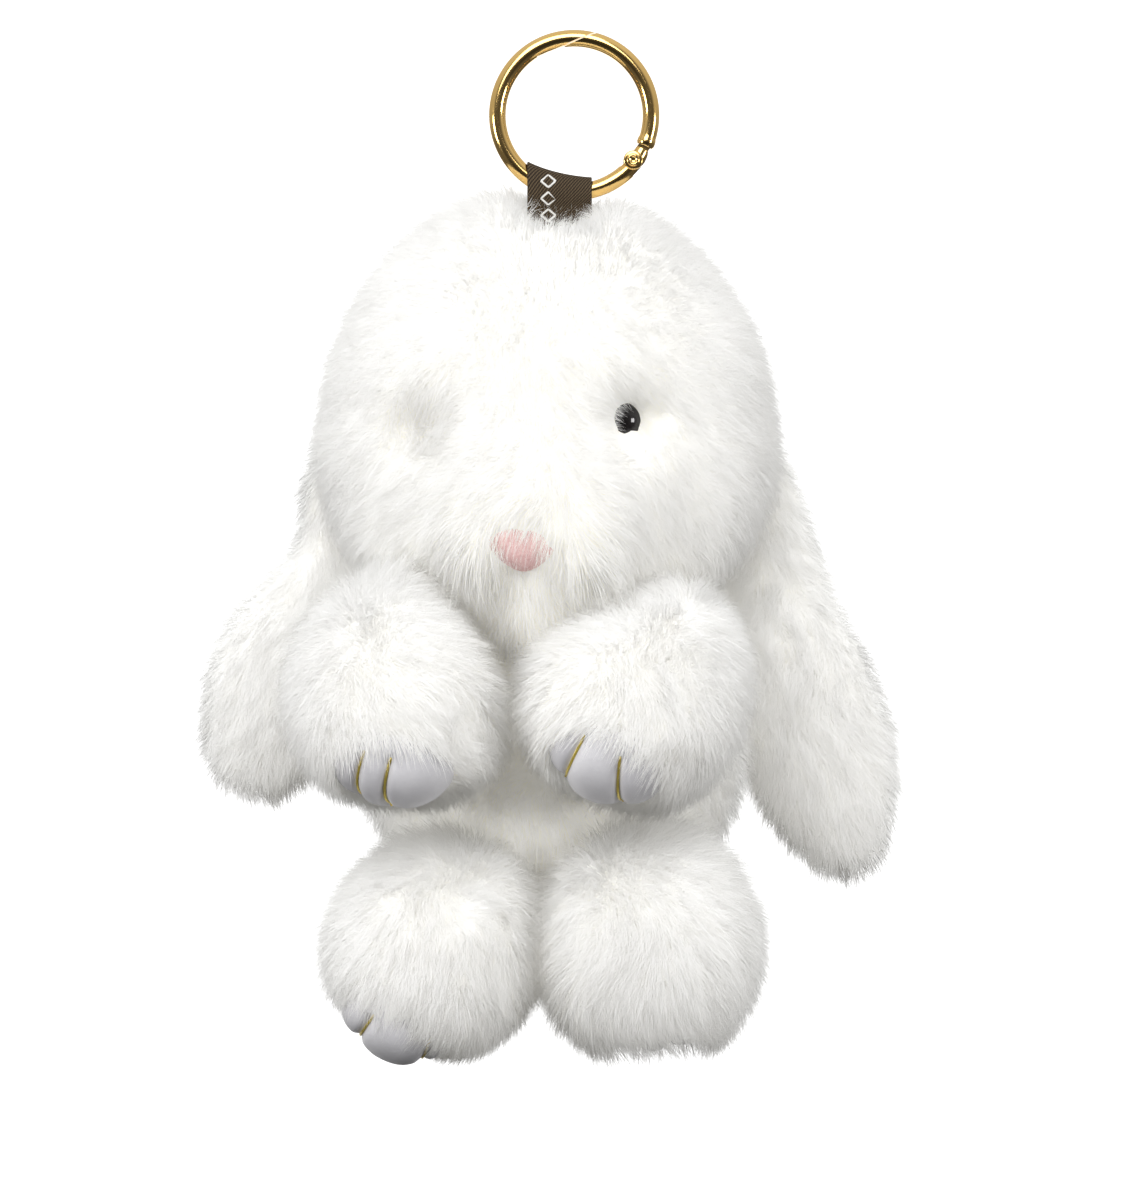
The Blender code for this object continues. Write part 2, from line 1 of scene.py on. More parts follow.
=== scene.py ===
"""Looks for the plush rabbit keychain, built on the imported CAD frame.

Metres, +Z up, the rabbit faces -Y.  The ring and its gate are rebuilt smooth,
the ribbon is a woven strip, and each pelt is a soft undercoat form with combed
and clumped fibre strands grown on it by seeded code.
"""
import json
import math

import bmesh
import bpy
import numpy as np
from mathutils import Matrix, Vector
from mathutils.kdtree import KDTree

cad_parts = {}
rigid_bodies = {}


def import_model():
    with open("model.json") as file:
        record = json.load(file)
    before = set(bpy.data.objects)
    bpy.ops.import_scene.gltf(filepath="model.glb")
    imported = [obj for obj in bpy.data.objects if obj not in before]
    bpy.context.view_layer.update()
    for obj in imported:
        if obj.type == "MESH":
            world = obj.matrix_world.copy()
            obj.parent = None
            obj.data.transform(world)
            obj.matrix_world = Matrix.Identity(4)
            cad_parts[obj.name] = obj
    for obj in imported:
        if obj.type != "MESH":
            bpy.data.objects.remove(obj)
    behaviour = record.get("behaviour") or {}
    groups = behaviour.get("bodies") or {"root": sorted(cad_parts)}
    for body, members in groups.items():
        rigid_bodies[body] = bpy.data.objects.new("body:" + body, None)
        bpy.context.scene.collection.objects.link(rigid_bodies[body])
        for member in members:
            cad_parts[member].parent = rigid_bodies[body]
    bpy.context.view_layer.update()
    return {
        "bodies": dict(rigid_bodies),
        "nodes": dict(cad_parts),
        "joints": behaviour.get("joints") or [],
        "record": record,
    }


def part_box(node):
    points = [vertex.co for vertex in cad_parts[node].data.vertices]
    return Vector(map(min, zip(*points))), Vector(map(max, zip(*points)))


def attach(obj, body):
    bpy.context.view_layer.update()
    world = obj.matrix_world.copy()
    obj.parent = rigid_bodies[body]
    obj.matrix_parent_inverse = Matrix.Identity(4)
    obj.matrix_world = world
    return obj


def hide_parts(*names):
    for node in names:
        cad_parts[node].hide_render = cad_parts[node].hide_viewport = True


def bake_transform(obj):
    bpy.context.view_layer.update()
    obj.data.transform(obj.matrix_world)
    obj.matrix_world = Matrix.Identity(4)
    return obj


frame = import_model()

MM = 0.001

# Ring, as in the CAD, but for a slimmer knuckle
RING_INNER_R = 14.0 * MM
WIRE_R = 1.75 * MM
RING_R = RING_INNER_R + WIRE_R
RING_CENTRE = Vector((0.0, 0.0, -RING_INNER_R))
HINGE_ANGLE = math.radians(-38.0)
SPLIT_ANGLE = math.radians(-24.0)
TIP_ANGLE = math.radians(84.0)
SCARF_ANGLE = math.radians(14.0)
SLEEVE_GAP = 0.7 * MM
KNUCKLE_R = 2.0 * MM
KNUCKLE_HALF = 1.95 * MM
GAP = 0.3 * MM
RING_SIDES = 36

# Limb poses in degrees, as in the CAD, but for the arms' lean
ARM_TILT = 42.0
ARM_LEAN = {"left": 5.0, "right": 23.0}
LEG_TILT = {"left": (16.0, -30.0), "right": (2.0, 3.0)}
EAR_TILT = {"left": 12.0, "right": 10.0}

# Fur
UNDERCOAT_SINK = -0.3              # mm below the shape, so it stands a little proud
ROOT_SINK = 1.2
DOWN_SINK = 0.3
# Painted glow: emission that lifts the coat's shade; its warm colour paints warmth into the
# shaded folds
PAINTED_GLOW_STRENGTH = 0.12
PAINTED_GLOW_COLOR = (1.0, 0.965, 0.87, 1.0)
STRAND_ROUND = 0.4                 # share of its own roundness in a strand's shading
DOWN_WIDTH = (0.05, 0.08)          # half widths in mm
GUARD_WIDTH = (0.042, 0.068)
FACES_PER_PIECE = 190000

# Pads
PAD_ANGLE = 36.0                   # from a limb's axis to the pad's edge
PAD_RIM = 5.0                      # degrees past the edge in which the leather tucks under
RIM_TUCK = 3.0                     # mm
LEATHER_THICK = 0.8 * MM
STITCH_R = 0.27 * MM
STITCH_PROUD = 0.15                # mm
STITCH_DIVE = 0.9                  # mm that each end goes into the leather

# Face
EYE_R = 4.8                        # mm
EYE_SHIFT = (-0.6, -1.0)           # mm from the CAD eye, in x and z
NOSE_HALF = (6.4, 3.0, 4.2)        # mm
NOSE_PROUD = 0.6                   # mm from the head's surface

THINNING = 1


# Materials

def principled(name, color, roughness, metallic=0.0):
    """A node material and its main shader."""
    mat = bpy.data.materials.new(name)
    mat.use_nodes = True
    shader = mat.node_tree.nodes["Principled BSDF"]
    shader.inputs["Base Color"].default_value = (*color, 1.0)
    shader.inputs["Roughness"].default_value = roughness
    shader.inputs["Metallic"].default_value = metallic
    return mat, shader


def add_node(mat, kind, **settings):
    """A node with the given input values."""
    node = mat.node_tree.nodes.new(kind)
    for key, value in settings.items():
        node.inputs[key.replace("_", " ")].default_value = value
    return node


def link(mat, out, socket):
    """Join an output socket to an input socket."""
    mat.node_tree.links.new(out, socket)


def object_coords(mat):
    """Texture coordinates fixed to the piece, in metres."""
    return add_node(mat, "ShaderNodeTexCoord").outputs["Object"]


def noise(mat, scale, detail=3.0, roughness=0.6):
    """A noise texture in the piece's own coordinates."""
    node = add_node(mat, "ShaderNodeTexNoise", Scale=scale, Detail=detail, Roughness=roughness)
    link(mat, object_coords(mat), node.inputs["Vector"])
    return node.outputs["Fac"]


def ramp(mat, factor, stops):
    """A colour ramp from (position, colour) stops."""
    node = add_node(mat, "ShaderNodeValToRGB")
    elements = node.color_ramp.elements
    while len(elements) < len(stops):
        elements.new(0.5)
    for element, (place, color) in zip(elements, stops):
        element.position = place
        element.color = (*color, 1.0)
    link(mat, factor, node.inputs["Fac"])
    return node.outputs["Color"]


def bump(mat, height, strength, distance, shader):
    """Feed a height to the shader's normal."""
    node = add_node(mat, "ShaderNodeBump", Strength=strength, Distance=distance)
    link(mat, height, node.inputs["Height"])
    link(mat, node.outputs["Normal"], shader.inputs["Normal"])


def map_range(mat, value, low, high):
    """Spread 0..1 over low..high."""
    node = add_node(mat, "ShaderNodeMapRange", To_Min=low, To_Max=high)
    link(mat, value, node.inputs["Value"])
    return node.outputs["Result"]


def tint(mat, shader, factor, *stops):
    """Colour the surface by a ramp of (position, colour) stops."""
    link(mat, ramp(mat, factor, stops), shader.inputs["Base Color"])


def vary(mat, shader, socket, factor, low, high):
    """Let a factor of 0..1 move one of the shader's values over low..high."""
    link(mat, map_range(mat, factor, low, high), shader.inputs[socket])


def painted_glow(shader):
    """Painted glow: a faint warm emission that stands in for the light scattering inside a white
    coat, and paints warmth into its shaded folds.
    """
    shader.inputs["Emission Color"].default_value = PAINTED_GLOW_COLOR
    shader.inputs["Emission Strength"].default_value = PAINTED_GLOW_STRENGTH


def thread_waves(mat, **settings):
    """The twist of a thread, in the piece's own coordinates."""
    wave = add_node(mat, "ShaderNodeTexWave", **settings)
    link(mat, object_coords(mat), wave.inputs["Vector"])
    return wave.outputs["Fac"]


def gold_material():
    """Bright plated gold with faint polishing haze."""
    mat, shader = principled("gold_plating", (0.80, 0.53, 0.19), 0.09, 1.0)
    vary(mat, shader, "Roughness", noise(mat, 900.0, 4.0), 0.06, 0.16)
    bump(mat, noise(mat, 260.0, 2.0), 0.02, 0.0002, shader)
    return mat


def fibre_material(name, color):
    """One shade of fur fibre."""
    mat, shader = principled(name, color, 0.62)
    painted_glow(shader)
    vary(mat, shader, "Specular IOR Level", noise(mat, 160.0, 2.0), 0.15, 0.45)
    return mat


def undercoat_material():
    """Dense short wool under the guard hairs, cream with a random tone; where it shows between
    them its cream also paints warm shade into the gaps and hollows.
    """
    mat, shader = principled("fur_undercoat", (0.95, 0.94, 0.90), 0.95)
    # Random cream tone of the wool, which also serves as painted warm shade between the strands
    tint(mat, shader, noise(mat, 300.0, 6.0, 0.75),
         (0.3, (0.90, 0.88, 0.81)), (0.7, (0.96, 0.955, 0.93)))
    painted_glow(shader)
    bump(mat, noise(mat, 1300.0, 6.0, 0.8), 0.5, 0.0005, shader)
    return mat


def leather_material():
    """Soft grey leather with a fine grain."""
    mat, shader = principled("pad_leather", (0.62, 0.61, 0.64), 0.5)
    tint(mat, shader, noise(mat, 180.0, 4.0),
         (0.25, (0.70, 0.69, 0.72)), (0.75, (0.80, 0.79, 0.815)))
    cells = add_node(mat, "ShaderNodeTexVoronoi", Scale=2600.0)
    link(mat, object_coords(mat), cells.inputs["Vector"])
    bump(mat, cells.outputs["Distance"], 0.25, 0.0001, shader)
    return mat


def thread_material():
    """Metallic gold thread with its twist."""
    mat, shader = principled("gold_thread", (0.80, 0.60, 0.12), 0.32, 0.7)
    wave = thread_waves(mat, Scale=1400.0, Distortion=1.5)
    tint(mat, shader, wave, (0.0, (0.50, 0.36, 0.05)), (1.0, (0.98, 0.80, 0.20)))
    bump(mat, wave, 0.6, 0.0001, shader)
    return mat


def eye_material():
    """Black glossy plastic, a little uneven in its polish."""
    mat, shader = principled("eye_black", (0.012, 0.010, 0.010), 0.06)
    vary(mat, shader, "Roughness", noise(mat, 500.0), 0.04, 0.09)
    return mat


def nose_material():
    """Pink flocked fabric."""
    mat, shader = principled("nose_pink", (0.86, 0.52, 0.50), 0.85)
    tint(mat, shader, noise(mat, 1500.0, 5.0, 0.8),
         (0.3, (0.70, 0.40, 0.39)), (0.7, (0.86, 0.58, 0.56)))
    bump(mat, noise(mat, 2500.0, 4.0), 0.6, 0.0002, shader)
    return mat


def filling_material():
    """Loose polyester fibre."""
    mat, shader = principled("stuffing_fibre", (0.86, 0.86, 0.84), 0.95)
    tint(mat, shader, noise(mat, 400.0, 6.0, 0.8),
         (0.3, (0.72, 0.72, 0.70)), (0.7, (0.92, 0.92, 0.9)))
    return mat


def steel_material():
    """Drawn spring wire."""
    mat, shader = principled("spring_wire", (0.55, 0.55, 0.56), 0.3, 1.0)
    vary(mat, shader, "Roughness", noise(mat, 1500.0), 0.25, 0.4)
    return mat


def washer_material():
    """Milky moulded plastic."""
    mat, shader = principled("washer_plastic", (0.8, 0.8, 0.78), 0.5)
    vary(mat, shader, "Roughness", noise(mat, 800.0), 0.45, 0.6)
    return mat


def ribbon_material():
    """Dark brown twill, woven in UV space: U across, V along, in metres."""
    mat, shader = principled("ribbon_twill", (0.05, 0.035, 0.02), 0.8)
    shader.inputs["Specular IOR Level"].default_value = 0.2
    uv = add_node(mat, "ShaderNodeUVMap")
    uv.uv_map = "weave"
    turn = add_node(mat, "ShaderNodeMapping")
    turn.inputs["Rotation"].default_value = (0.0, 0.0, math.radians(52.0))
    link(mat, uv.outputs["UV"], turn.inputs["Vector"])
    rib = add_node(mat, "ShaderNodeTexWave", Scale=680.0, Distortion=0.3)
    rib.bands_direction = "Y"
    link(mat, turn.outputs["Vector"], rib.inputs["Vector"])
    cross = add_node(mat, "ShaderNodeTexWave", Scale=1100.0)
    cross.bands_direction = "X"
    link(mat, uv.outputs["UV"], cross.inputs["Vector"])
    weave = add_node(mat, "ShaderNodeMath")
    weave.operation = "MULTIPLY"
    link(mat, rib.outputs["Fac"], weave.inputs[0])
    link(mat, map_range(mat, cross.outputs["Fac"], 0.35, 1.0), weave.inputs[1])
    tint(mat, shader, weave.outputs[0],
         (0.1, (0.020, 0.013, 0.008)), (0.9, (0.150, 0.108, 0.062)))
    bump(mat, weave.outputs[0], 0.7, 0.00015, shader)
    return mat


def motif_material():
    """White woven thread for the ribbon's pattern."""
    mat, shader = principled("motif_thread", (0.82, 0.81, 0.78), 0.7)
    wave = thread_waves(mat, Scale=1500.0)
    tint(mat, shader, wave, (0.0, (0.62, 0.61, 0.58)), (1.0, (0.9, 0.89, 0.87)))
    bump(mat, wave, 0.5, 0.0001, shader)
    return mat


GOLD = gold_material()
# Ivory fibres are partly random tone and partly painted shade; the darker cream fibres appear
# only as painted shade
FIBRES = [fibre_material("fur_white", (0.97, 0.97, 0.965)),
          fibre_material("fur_ivory", (0.92, 0.915, 0.89)),
          fibre_material("fur_cream", (0.85, 0.83, 0.76))]
UNDERCOAT = undercoat_material()
LEATHER = leather_material()
THREAD = thread_material()
EYE = eye_material()
NOSE = nose_material()
FILLING = filling_material()
STEEL = steel_material()
WASHER = washer_material()
TWILL = ribbon_material()
MOTIF = motif_material()


# Builders

def add_piece(name, verts, faces, mats, body, slot):
    """A mesh piece from arrays, its faces pointing out, riding on a body."""
    mesh = bpy.data.meshes.new(name)
    mesh.from_pydata([tuple(v) for v in verts], [], [tuple(f) for f in faces])
    obj = finish_piece(name, mesh, mats, body)
    bm = bmesh.new()
    bm.from_mesh(mesh)
    bmesh.ops.recalc_face_normals(bm, faces=bm.faces)
    bm.to_mesh(mesh)
    bm.free()
    return obj


def mesh_from(bm, name):
    """A mesh from a bmesh, which is freed."""
    mesh = bpy.data.meshes.new(name)
    bm.to_mesh(mesh)
    bm.free()
    return mesh


def smooth_faces(mesh):
    """Smooth shading on every face."""
    mesh.polygons.foreach_set("use_smooth", [True] * len(mesh.polygons))


def finish_piece(name, mesh, mats, body):
    """Link a mesh, give it materials and put it on a body, if one is named."""
    for mat in mats:
        mesh.materials.append(mat)
    smooth_faces(mesh)
    obj = bpy.data.objects.new(name, mesh)
    bpy.context.scene.collection.objects.link(obj)
    if body:
        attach(obj, body)
    return obj


def grid_faces(rows, columns, wrap=True):
    """Quads of a rows by columns grid, closed round the columns if wrap."""
    faces = []
    for r in range(rows - 1):
        for c in range(columns if wrap else columns - 1):
            d = (c + 1) % columns
            faces.append((r * columns + c, r * columns + d,
                          (r + 1) * columns + d, (r + 1) * columns + c))
    return faces


def tube_faces(rows, sides):
    """Quads of a closed tube and a cap on each of its ends."""
    last = (rows - 1) * sides
    return grid_faces(rows, sides) + [tuple(range(sides - 1, -1, -1)),
                                      tuple(range(last, last + sides))]


def circle(sides):
    """The angles of a circle's points."""
    return [2.0 * math.pi * k / sides for k in range(sides)]


def sweep(points, radii, sides):
    """A capped tube through points; radii has one value for each."""
    points = [Vector(p) for p in points]
    verts = []
    for i, point in enumerate(points):
        ahead = points[min(i + 1, len(points) - 1)]
        behind = points[max(i - 1, 0)]
        along = (ahead - behind).normalized()
        side = along.cross(Vector((0.0, 1.0, 0.0)))
        if side.length < 0.1:
            side = along.cross(Vector((1.0, 0.0, 0.0)))
        side.normalize()
        up = side.cross(along).normalized()
        verts += [point + (side * math.cos(a) + up * math.sin(a)) * radii[i]
                  for a in circle(sides)]
    return verts, tube_faces(len(points), sides)


def apply_modifiers(obj):
    """Replace a piece's mesh by what its modifiers make of it."""
    depsgraph = bpy.context.evaluated_depsgraph_get()
    mesh = bpy.data.meshes.new_from_object(obj.evaluated_get(depsgraph))
    obj.modifiers.clear()
    obj.data = mesh


# Ring

def ring_point(angle, radius=RING_R):
    """A point of the ring's centreline."""
    return RING_CENTRE + Vector((math.cos(angle), 0.0, math.sin(angle))) * radius


HINGE = ring_point(HINGE_ANGLE, RING_R - 0.45 * MM)


def scarf_frame(side):
    """The block that cuts the slanted joint, as in the CAD."""
    tip = ring_point(TIP_ANGLE)
    reach = (tip - HINGE).normalized()
    back = Vector((0.0, 1.0, 0.0))
    frame = Matrix((back.cross(reach), back, reach)).transposed().to_4x4()
    frame.translation = tip + reach * side * (10.0 * MM - GAP / 2.0)
    return frame


def cutter_box(size, matrix):
    """A temporary box for a Boolean."""
    bm = bmesh.new()
    bmesh.ops.create_cube(bm, size=1.0, matrix=Matrix.Diagonal((*size, 1.0)))
    return temporary(mesh_from(bm, "cutter"), matrix)


def cutter_rod(radius, half, matrix, segments, rim=0.0):
    """A temporary cylinder for a Boolean, with a bevelled rim if asked."""
    bm = bmesh.new()
    bmesh.ops.create_cone(bm, cap_ends=True, segments=segments, radius1=radius,
                          radius2=radius, depth=2.0 * half)
    if rim:
        edges = [e for e in bm.edges if abs(e.verts[0].co.z - e.verts[1].co.z) < 1e-7]
        bmesh.ops.bevel(bm, geom=edges, offset=rim, segments=4, affect="EDGES", profile=0.5)
    return temporary(mesh_from(bm, "cutter"), matrix)


def temporary(mesh, matrix):
    """An object that is removed after its Boolean."""
    obj = bpy.data.objects.new("cutter", mesh)
    bpy.context.scene.collection.objects.link(obj)
    obj.matrix_world = matrix
    return obj


def boolean(obj, cutter, operation):
    """Apply an exact Boolean at once and remove the cutter."""
    modifier = obj.modifiers.new("cut", "BOOLEAN")
    modifier.operation = operation
    modifier.solver = "EXACT"
    modifier.object = cutter
    bpy.context.view_layer.update()
    apply_modifiers(obj)
    bpy.data.objects.remove(cutter, do_unlink=True)


def pin_matrix(offset=0.0):
    """Z along the hinge pin."""
    frame = Matrix.Rotation(-math.pi / 2.0, 4, "X")
    frame.translation = HINGE + Vector((0.0, offset, 0.0))
    return frame


def smooth_by_angle(obj, degrees):
    """Smooth shading with sharp edges above an angle."""
    bm = bmesh.new()
    bm.from_mesh(obj.data)
    limit = math.radians(degrees)
    for face in bm.faces:
        face.smooth = True
    for edge in bm.edges:
        edge.smooth = len(edge.link_faces) == 2 and edge.calc_face_angle(0.0) < limit
    bm.to_mesh(obj.data)
    bm.free()


def cut_scarf(obj, side):
    """Cut the slanted joint at the top of one of the ring's halves."""
    boolean(obj, cutter_box((20 * MM, 3 * WIRE_R, 20 * MM), scarf_frame(side)), "DIFFERENCE")


def ring_arc(name, body, start, end, steps, radii):
    """A round wire along the ring; radii has the shares of a few rings' radii."""
    radii = [WIRE_R * radii.get(k, 1.0) for k in range(steps)]
    points = [ring_point(a) for a in np.linspace(start, end, steps)]
    return add_piece(name, *sweep(points, radii, RING_SIDES), [GOLD], body, "polished_gold")


def make_fixed_arc():
    """The ring's fixed arc with its rounded, slotted sleeve."""
    taper = {119: 0.86, 118: 0.95, 116: 1.04, 115: 1.04}
    body = ring_arc("ring_fixed", "ring", TIP_ANGLE - SCARF_ANGLE,
                    2.0 * math.pi + SPLIT_ANGLE - SLEEVE_GAP / RING_R, 120, taper)
    knuckle = cutter_rod(KNUCKLE_R, KNUCKLE_HALF, pin_matrix(), 64, 0.35 * MM)
    boolean(body, knuckle, "UNION")
    cut_scarf(body, -1.0)
    slot = cutter_box((12 * MM, 1.7 * MM, 11 * MM), hinge_matrix(0.0, 3.0 * MM))
    boolean(body, slot, "DIFFERENCE")
    smooth_by_angle(body, 30.0)
    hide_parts("ring_body")


def make_gate():
    """The gate with its collar and the flat tongue that turns on the pin."""
    collar = {0: 0.92, 1: 1.08, 2: 1.09, 3: 1.08}
    gate = ring_arc("ring_gate_arc", "gate", SPLIT_ANGLE, TIP_ANGLE + SCARF_ANGLE, 70, collar)
    tongue = cutter_box((2.4 * MM, 0.8 * MM, 5.2 * MM), hinge_matrix(-0.3 * MM, 2.6 * MM))
    boolean(gate, tongue, "UNION")
    boolean(gate, cutter_rod(1.6 * MM, 0.4 * MM, pin_matrix(-0.3 * MM), 48), "UNION")
    boolean(gate, cutter_rod(0.65 * MM, 6.0 * MM, pin_matrix(), 32), "DIFFERENCE")
    cut_scarf(gate, 1.0)
    smooth_by_angle(gate, 30.0)
    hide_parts("ring_gate")


def hinge_matrix(along, up):
    """X outward, Y along the pin, Z up the gate, shifted in Y and Z."""
    out = (HINGE - RING_CENTRE).normalized()
    back = Vector((0.0, 1.0, 0.0))
    frame = Matrix((out, back, out.cross(back))).transposed().to_4x4()
    frame.translation = HINGE
    return frame @ Matrix.Translation((0.0, along, up))


def make_rivet():
    """The pin with a raised rim and a dished centre on each head."""
    half = KNUCKLE_HALF + 0.05 * MM
    top = half + 0.45 * MM
    outline = [(0.0, -0.28), (0.3, -0.27), (0.55, -0.22), (0.72, -0.06), (0.85, 0.0),
               (1.0, 0.0), (1.18, -0.05), (1.30, -0.16), (1.35, -0.30), (1.35, -0.45)]
    profile = [(r * MM, top + z * MM) for r, z in outline]
    profile.append((0.6 * MM, half))
    profile += [(r, -z) for r, z in reversed(profile)]
    sides = 40
    verts = []
    for r, z in profile:
        r = max(r, 1e-6)
        verts += [pin_matrix() @ Vector((r * math.cos(a), r * math.sin(a), z))
                  for a in circle(sides)]
    rivet = add_piece("hinge_rivet", verts, tube_faces(len(profile), sides), [GOLD], "ring",
                      "polished_gold")
    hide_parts("hinge_pin")


# Ribbon

RIBBON_WIDTH = 13.2 * MM
RIBBON_LEFT = -9.6 * MM
RIBBON_FLEX_Z = -34.4 * MM
RIBBON_HALF_THICK = 0.25 * MM
RIBBON_STIFF = 0.7                 # 1 spans straight between its edges, 0 follows the wire
MOTIF_X = -5.3 * MM
MOTIF_Z = [-27.8 * MM, -31.2 * MM, -34.6 * MM]
MOTIF_HALF = (1.5 * MM, 1.25 * MM)
MOTIF_LINE = 0.22 * MM             # half the width of a diamond's line
MOTIF_PROUD = 0.09 * MM
RIBBON_TAIL = 8.5 * MM             # how far the two ends run down inside the crown


def wire_drop(x):
    """How far the wire's centreline lies below the ring's centre."""
    return math.sqrt(RING_R ** 2 - x ** 2)


def ribbon_line(x):
    """The loop in (y, z) for one column, from the back's end over to the front's."""
    drop = wire_drop(x)
    share = (x - RIBBON_LEFT) / RIBBON_WIDTH
    chord = wire_drop(RIBBON_LEFT) * (1.0 - share) + wire_drop(RIBBON_LEFT + RIBBON_WIDTH) * share
    wire_z = RING_CENTRE.z - chord * RIBBON_STIFF - drop * (1.0 - RIBBON_STIFF)
    across = WIRE_R + GAP + RIBBON_HALF_THICK
    upright = WIRE_R * RING_R / drop + GAP + RIBBON_HALF_THICK
    closed = RIBBON_HALF_THICK + GAP / 2.0
    half = []
    for i in range(15):
        a = math.radians(90.0 - 110.0 * i / 14.0)
        half.append((across * math.cos(a), wire_z + upright * math.sin(a)))
    low = RIBBON_FLEX_Z + 1.0 * MM
    last_y, last_z = half[-1]
    for i in range(1, 13):
        share = i / 12.0
        ease = share * share * (3.0 - 2.0 * share)
        half.append((last_y + (closed - last_y) * ease, last_z + (low - last_z) * share))
    for i in range(1, 9):
        half.append((closed, low - RIBBON_TAIL * i / 8.0))
    return [(y, z) for y, z in reversed(half)] + [(-y, z) for y, z in half[1:]]


def make_ribbon():
    """One strip of twill over the wire, its two ends folded into the crown."""
    columns = 28
    lines = []
    for c in range(columns):
        x = RIBBON_LEFT + RIBBON_WIDTH * c / (columns - 1)
        line = ribbon_line(x)
        lines.append([Vector((x, y, z)) for y, z in line])
    rows = len(lines[0])
    verts = [lines[c][r] for r in range(rows) for c in range(columns)]
    faces = grid_faces(rows, columns, wrap=False)
    ribbon = add_piece("ribbon_strip", verts, faces, [TWILL], None, None)
    along = [0.0]
    middle = lines[columns // 2]
    for a, b in zip(middle, middle[1:]):
        along.append(along[-1] + (b - a).length)
    weave = ribbon.data.uv_layers.new(name="weave")
    for loop in ribbon.data.loops:
        row, column = divmod(loop.vertex_index, columns)
        weave.data[loop.index].uv = (RIBBON_WIDTH * column / (columns - 1), along[row])
    skin = ribbon.modifiers.new("thickness", "SOLIDIFY")
    skin.thickness = 2.0 * RIBBON_HALF_THICK
    skin.offset = 0.0
    edge = ribbon.modifiers.new("selvedge", "BEVEL")
    edge.width = 0.12 * MM
    edge.segments = 2
    edge.limit_method = "ANGLE"
    apply_modifiers(ribbon)
    smooth_faces(ribbon.data)
    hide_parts("strap_loop", "strap_root")
    motif = make_motif()
    return ribbon, motif


def make_motif():
    """A column of woven diamonds on the front of the ribbon."""
    front = ribbon_line(MOTIF_X)
    front = front[len(front) // 2:]
    heights = [z for _, z in reversed(front)]
    depths = [y for y, _ in reversed(front)]
    sides, corners = 8, 4
    steps = 9
    verts, faces = [], []
    for middle in MOTIF_Z:
        first, rows = len(verts), steps * corners
        for i in range(rows):
            turn, share = divmod(i / steps, 1.0)
            a, b = (math.pi / 2.0 * (turn + k) for k in (0, 1))
            x, z = (f(a) * (1.0 - share) + f(b) * share for f in (math.cos, math.sin))
            across = Vector((MOTIF_HALF[1] * math.cos((a + b) / 2.0), 0.0,
                             MOTIF_HALF[0] * math.sin((a + b) / 2.0))).normalized()
            x, z = MOTIF_X + x * MOTIF_HALF[0], middle + z * MOTIF_HALF[1]
            y = float(np.interp(z, heights, depths)) - RIBBON_HALF_THICK
            verts += [Vector((x, y - MOTIF_PROUD * math.sin(q), z))
                      + across * MOTIF_LINE * math.cos(q) for q in circle(sides)]
        for i in range(rows):
            for k in range(sides):
                a, b = first + i * sides, first + (i + 1) % rows * sides
                m = (k + 1) % sides
                faces.append((a + k, a + m, b + m, b + k))
    motif = add_piece("ribbon_motif", verts, faces, [MOTIF], None, None)
    return motif


# Plush geometry

def unit(v):
    """Rows of v at length 1."""
    return v / np.maximum(np.linalg.norm(v, axis=1, keepdims=True), 1e-9)


def turn_matrix(*turns):
    """A rotation from (axis, degrees) steps, applied last to first."""
    result = Matrix.Identity(3)
    for axis, degrees in turns:
        result = result @ Matrix.Rotation(math.radians(degrees), 3, axis)
    return np.array(result)


def node_box(node):
    """Lowest and highest corners of a node, in mm."""
    return [np.array(corner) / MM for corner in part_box(node)]


def bell(away):
    """1 at a distance of 0, fading smoothly."""
    return np.exp(-away ** 2)


def bump_at(points, centre, width):
    """A smooth bump of height 1 around a place."""
    return bell(np.linalg.norm(points - np.array(centre), axis=1) / width)[:, None]


HEAD_HALF = np.array((42.5, 34.0, 39.5))
HEAD_CENTRE = np.array((-5.5, 0.0, -75.0))
EYE_XZ = {"left": (-29.9, -76.1), "right": (9.8, -76.9)}
NOSE_XZ = (-10.0, -104.2)
RIBBON_X = 2.5                     # the ribbon's middle, from the head's centre
MUZZLE_X = -8.5
MUZZLE_BUMPS = [((0.0, -8.5, -1.5), (-1.0, -28.0, -22.0), 19.0),   # push, place, width
                ((0.0, -7.0, -8.0), (-1.0, -17.0, -38.0), 12.0),
                ((0.0, -9.0, -7.0), (-4.0, -33.0, -38.0), 15.0),
                ((0.0, -4.0, 0.0), (-3.0, -36.0, -17.0), 11.0)]
DIMPLE = {"left": 4.8, "right": 6.0}   # depth of the eye hollows
DIMPLE_DROP = {"left": 2.5, "right": 2.0}
EYE_DEEPER = {"left": 4.5, "right": 0.4}


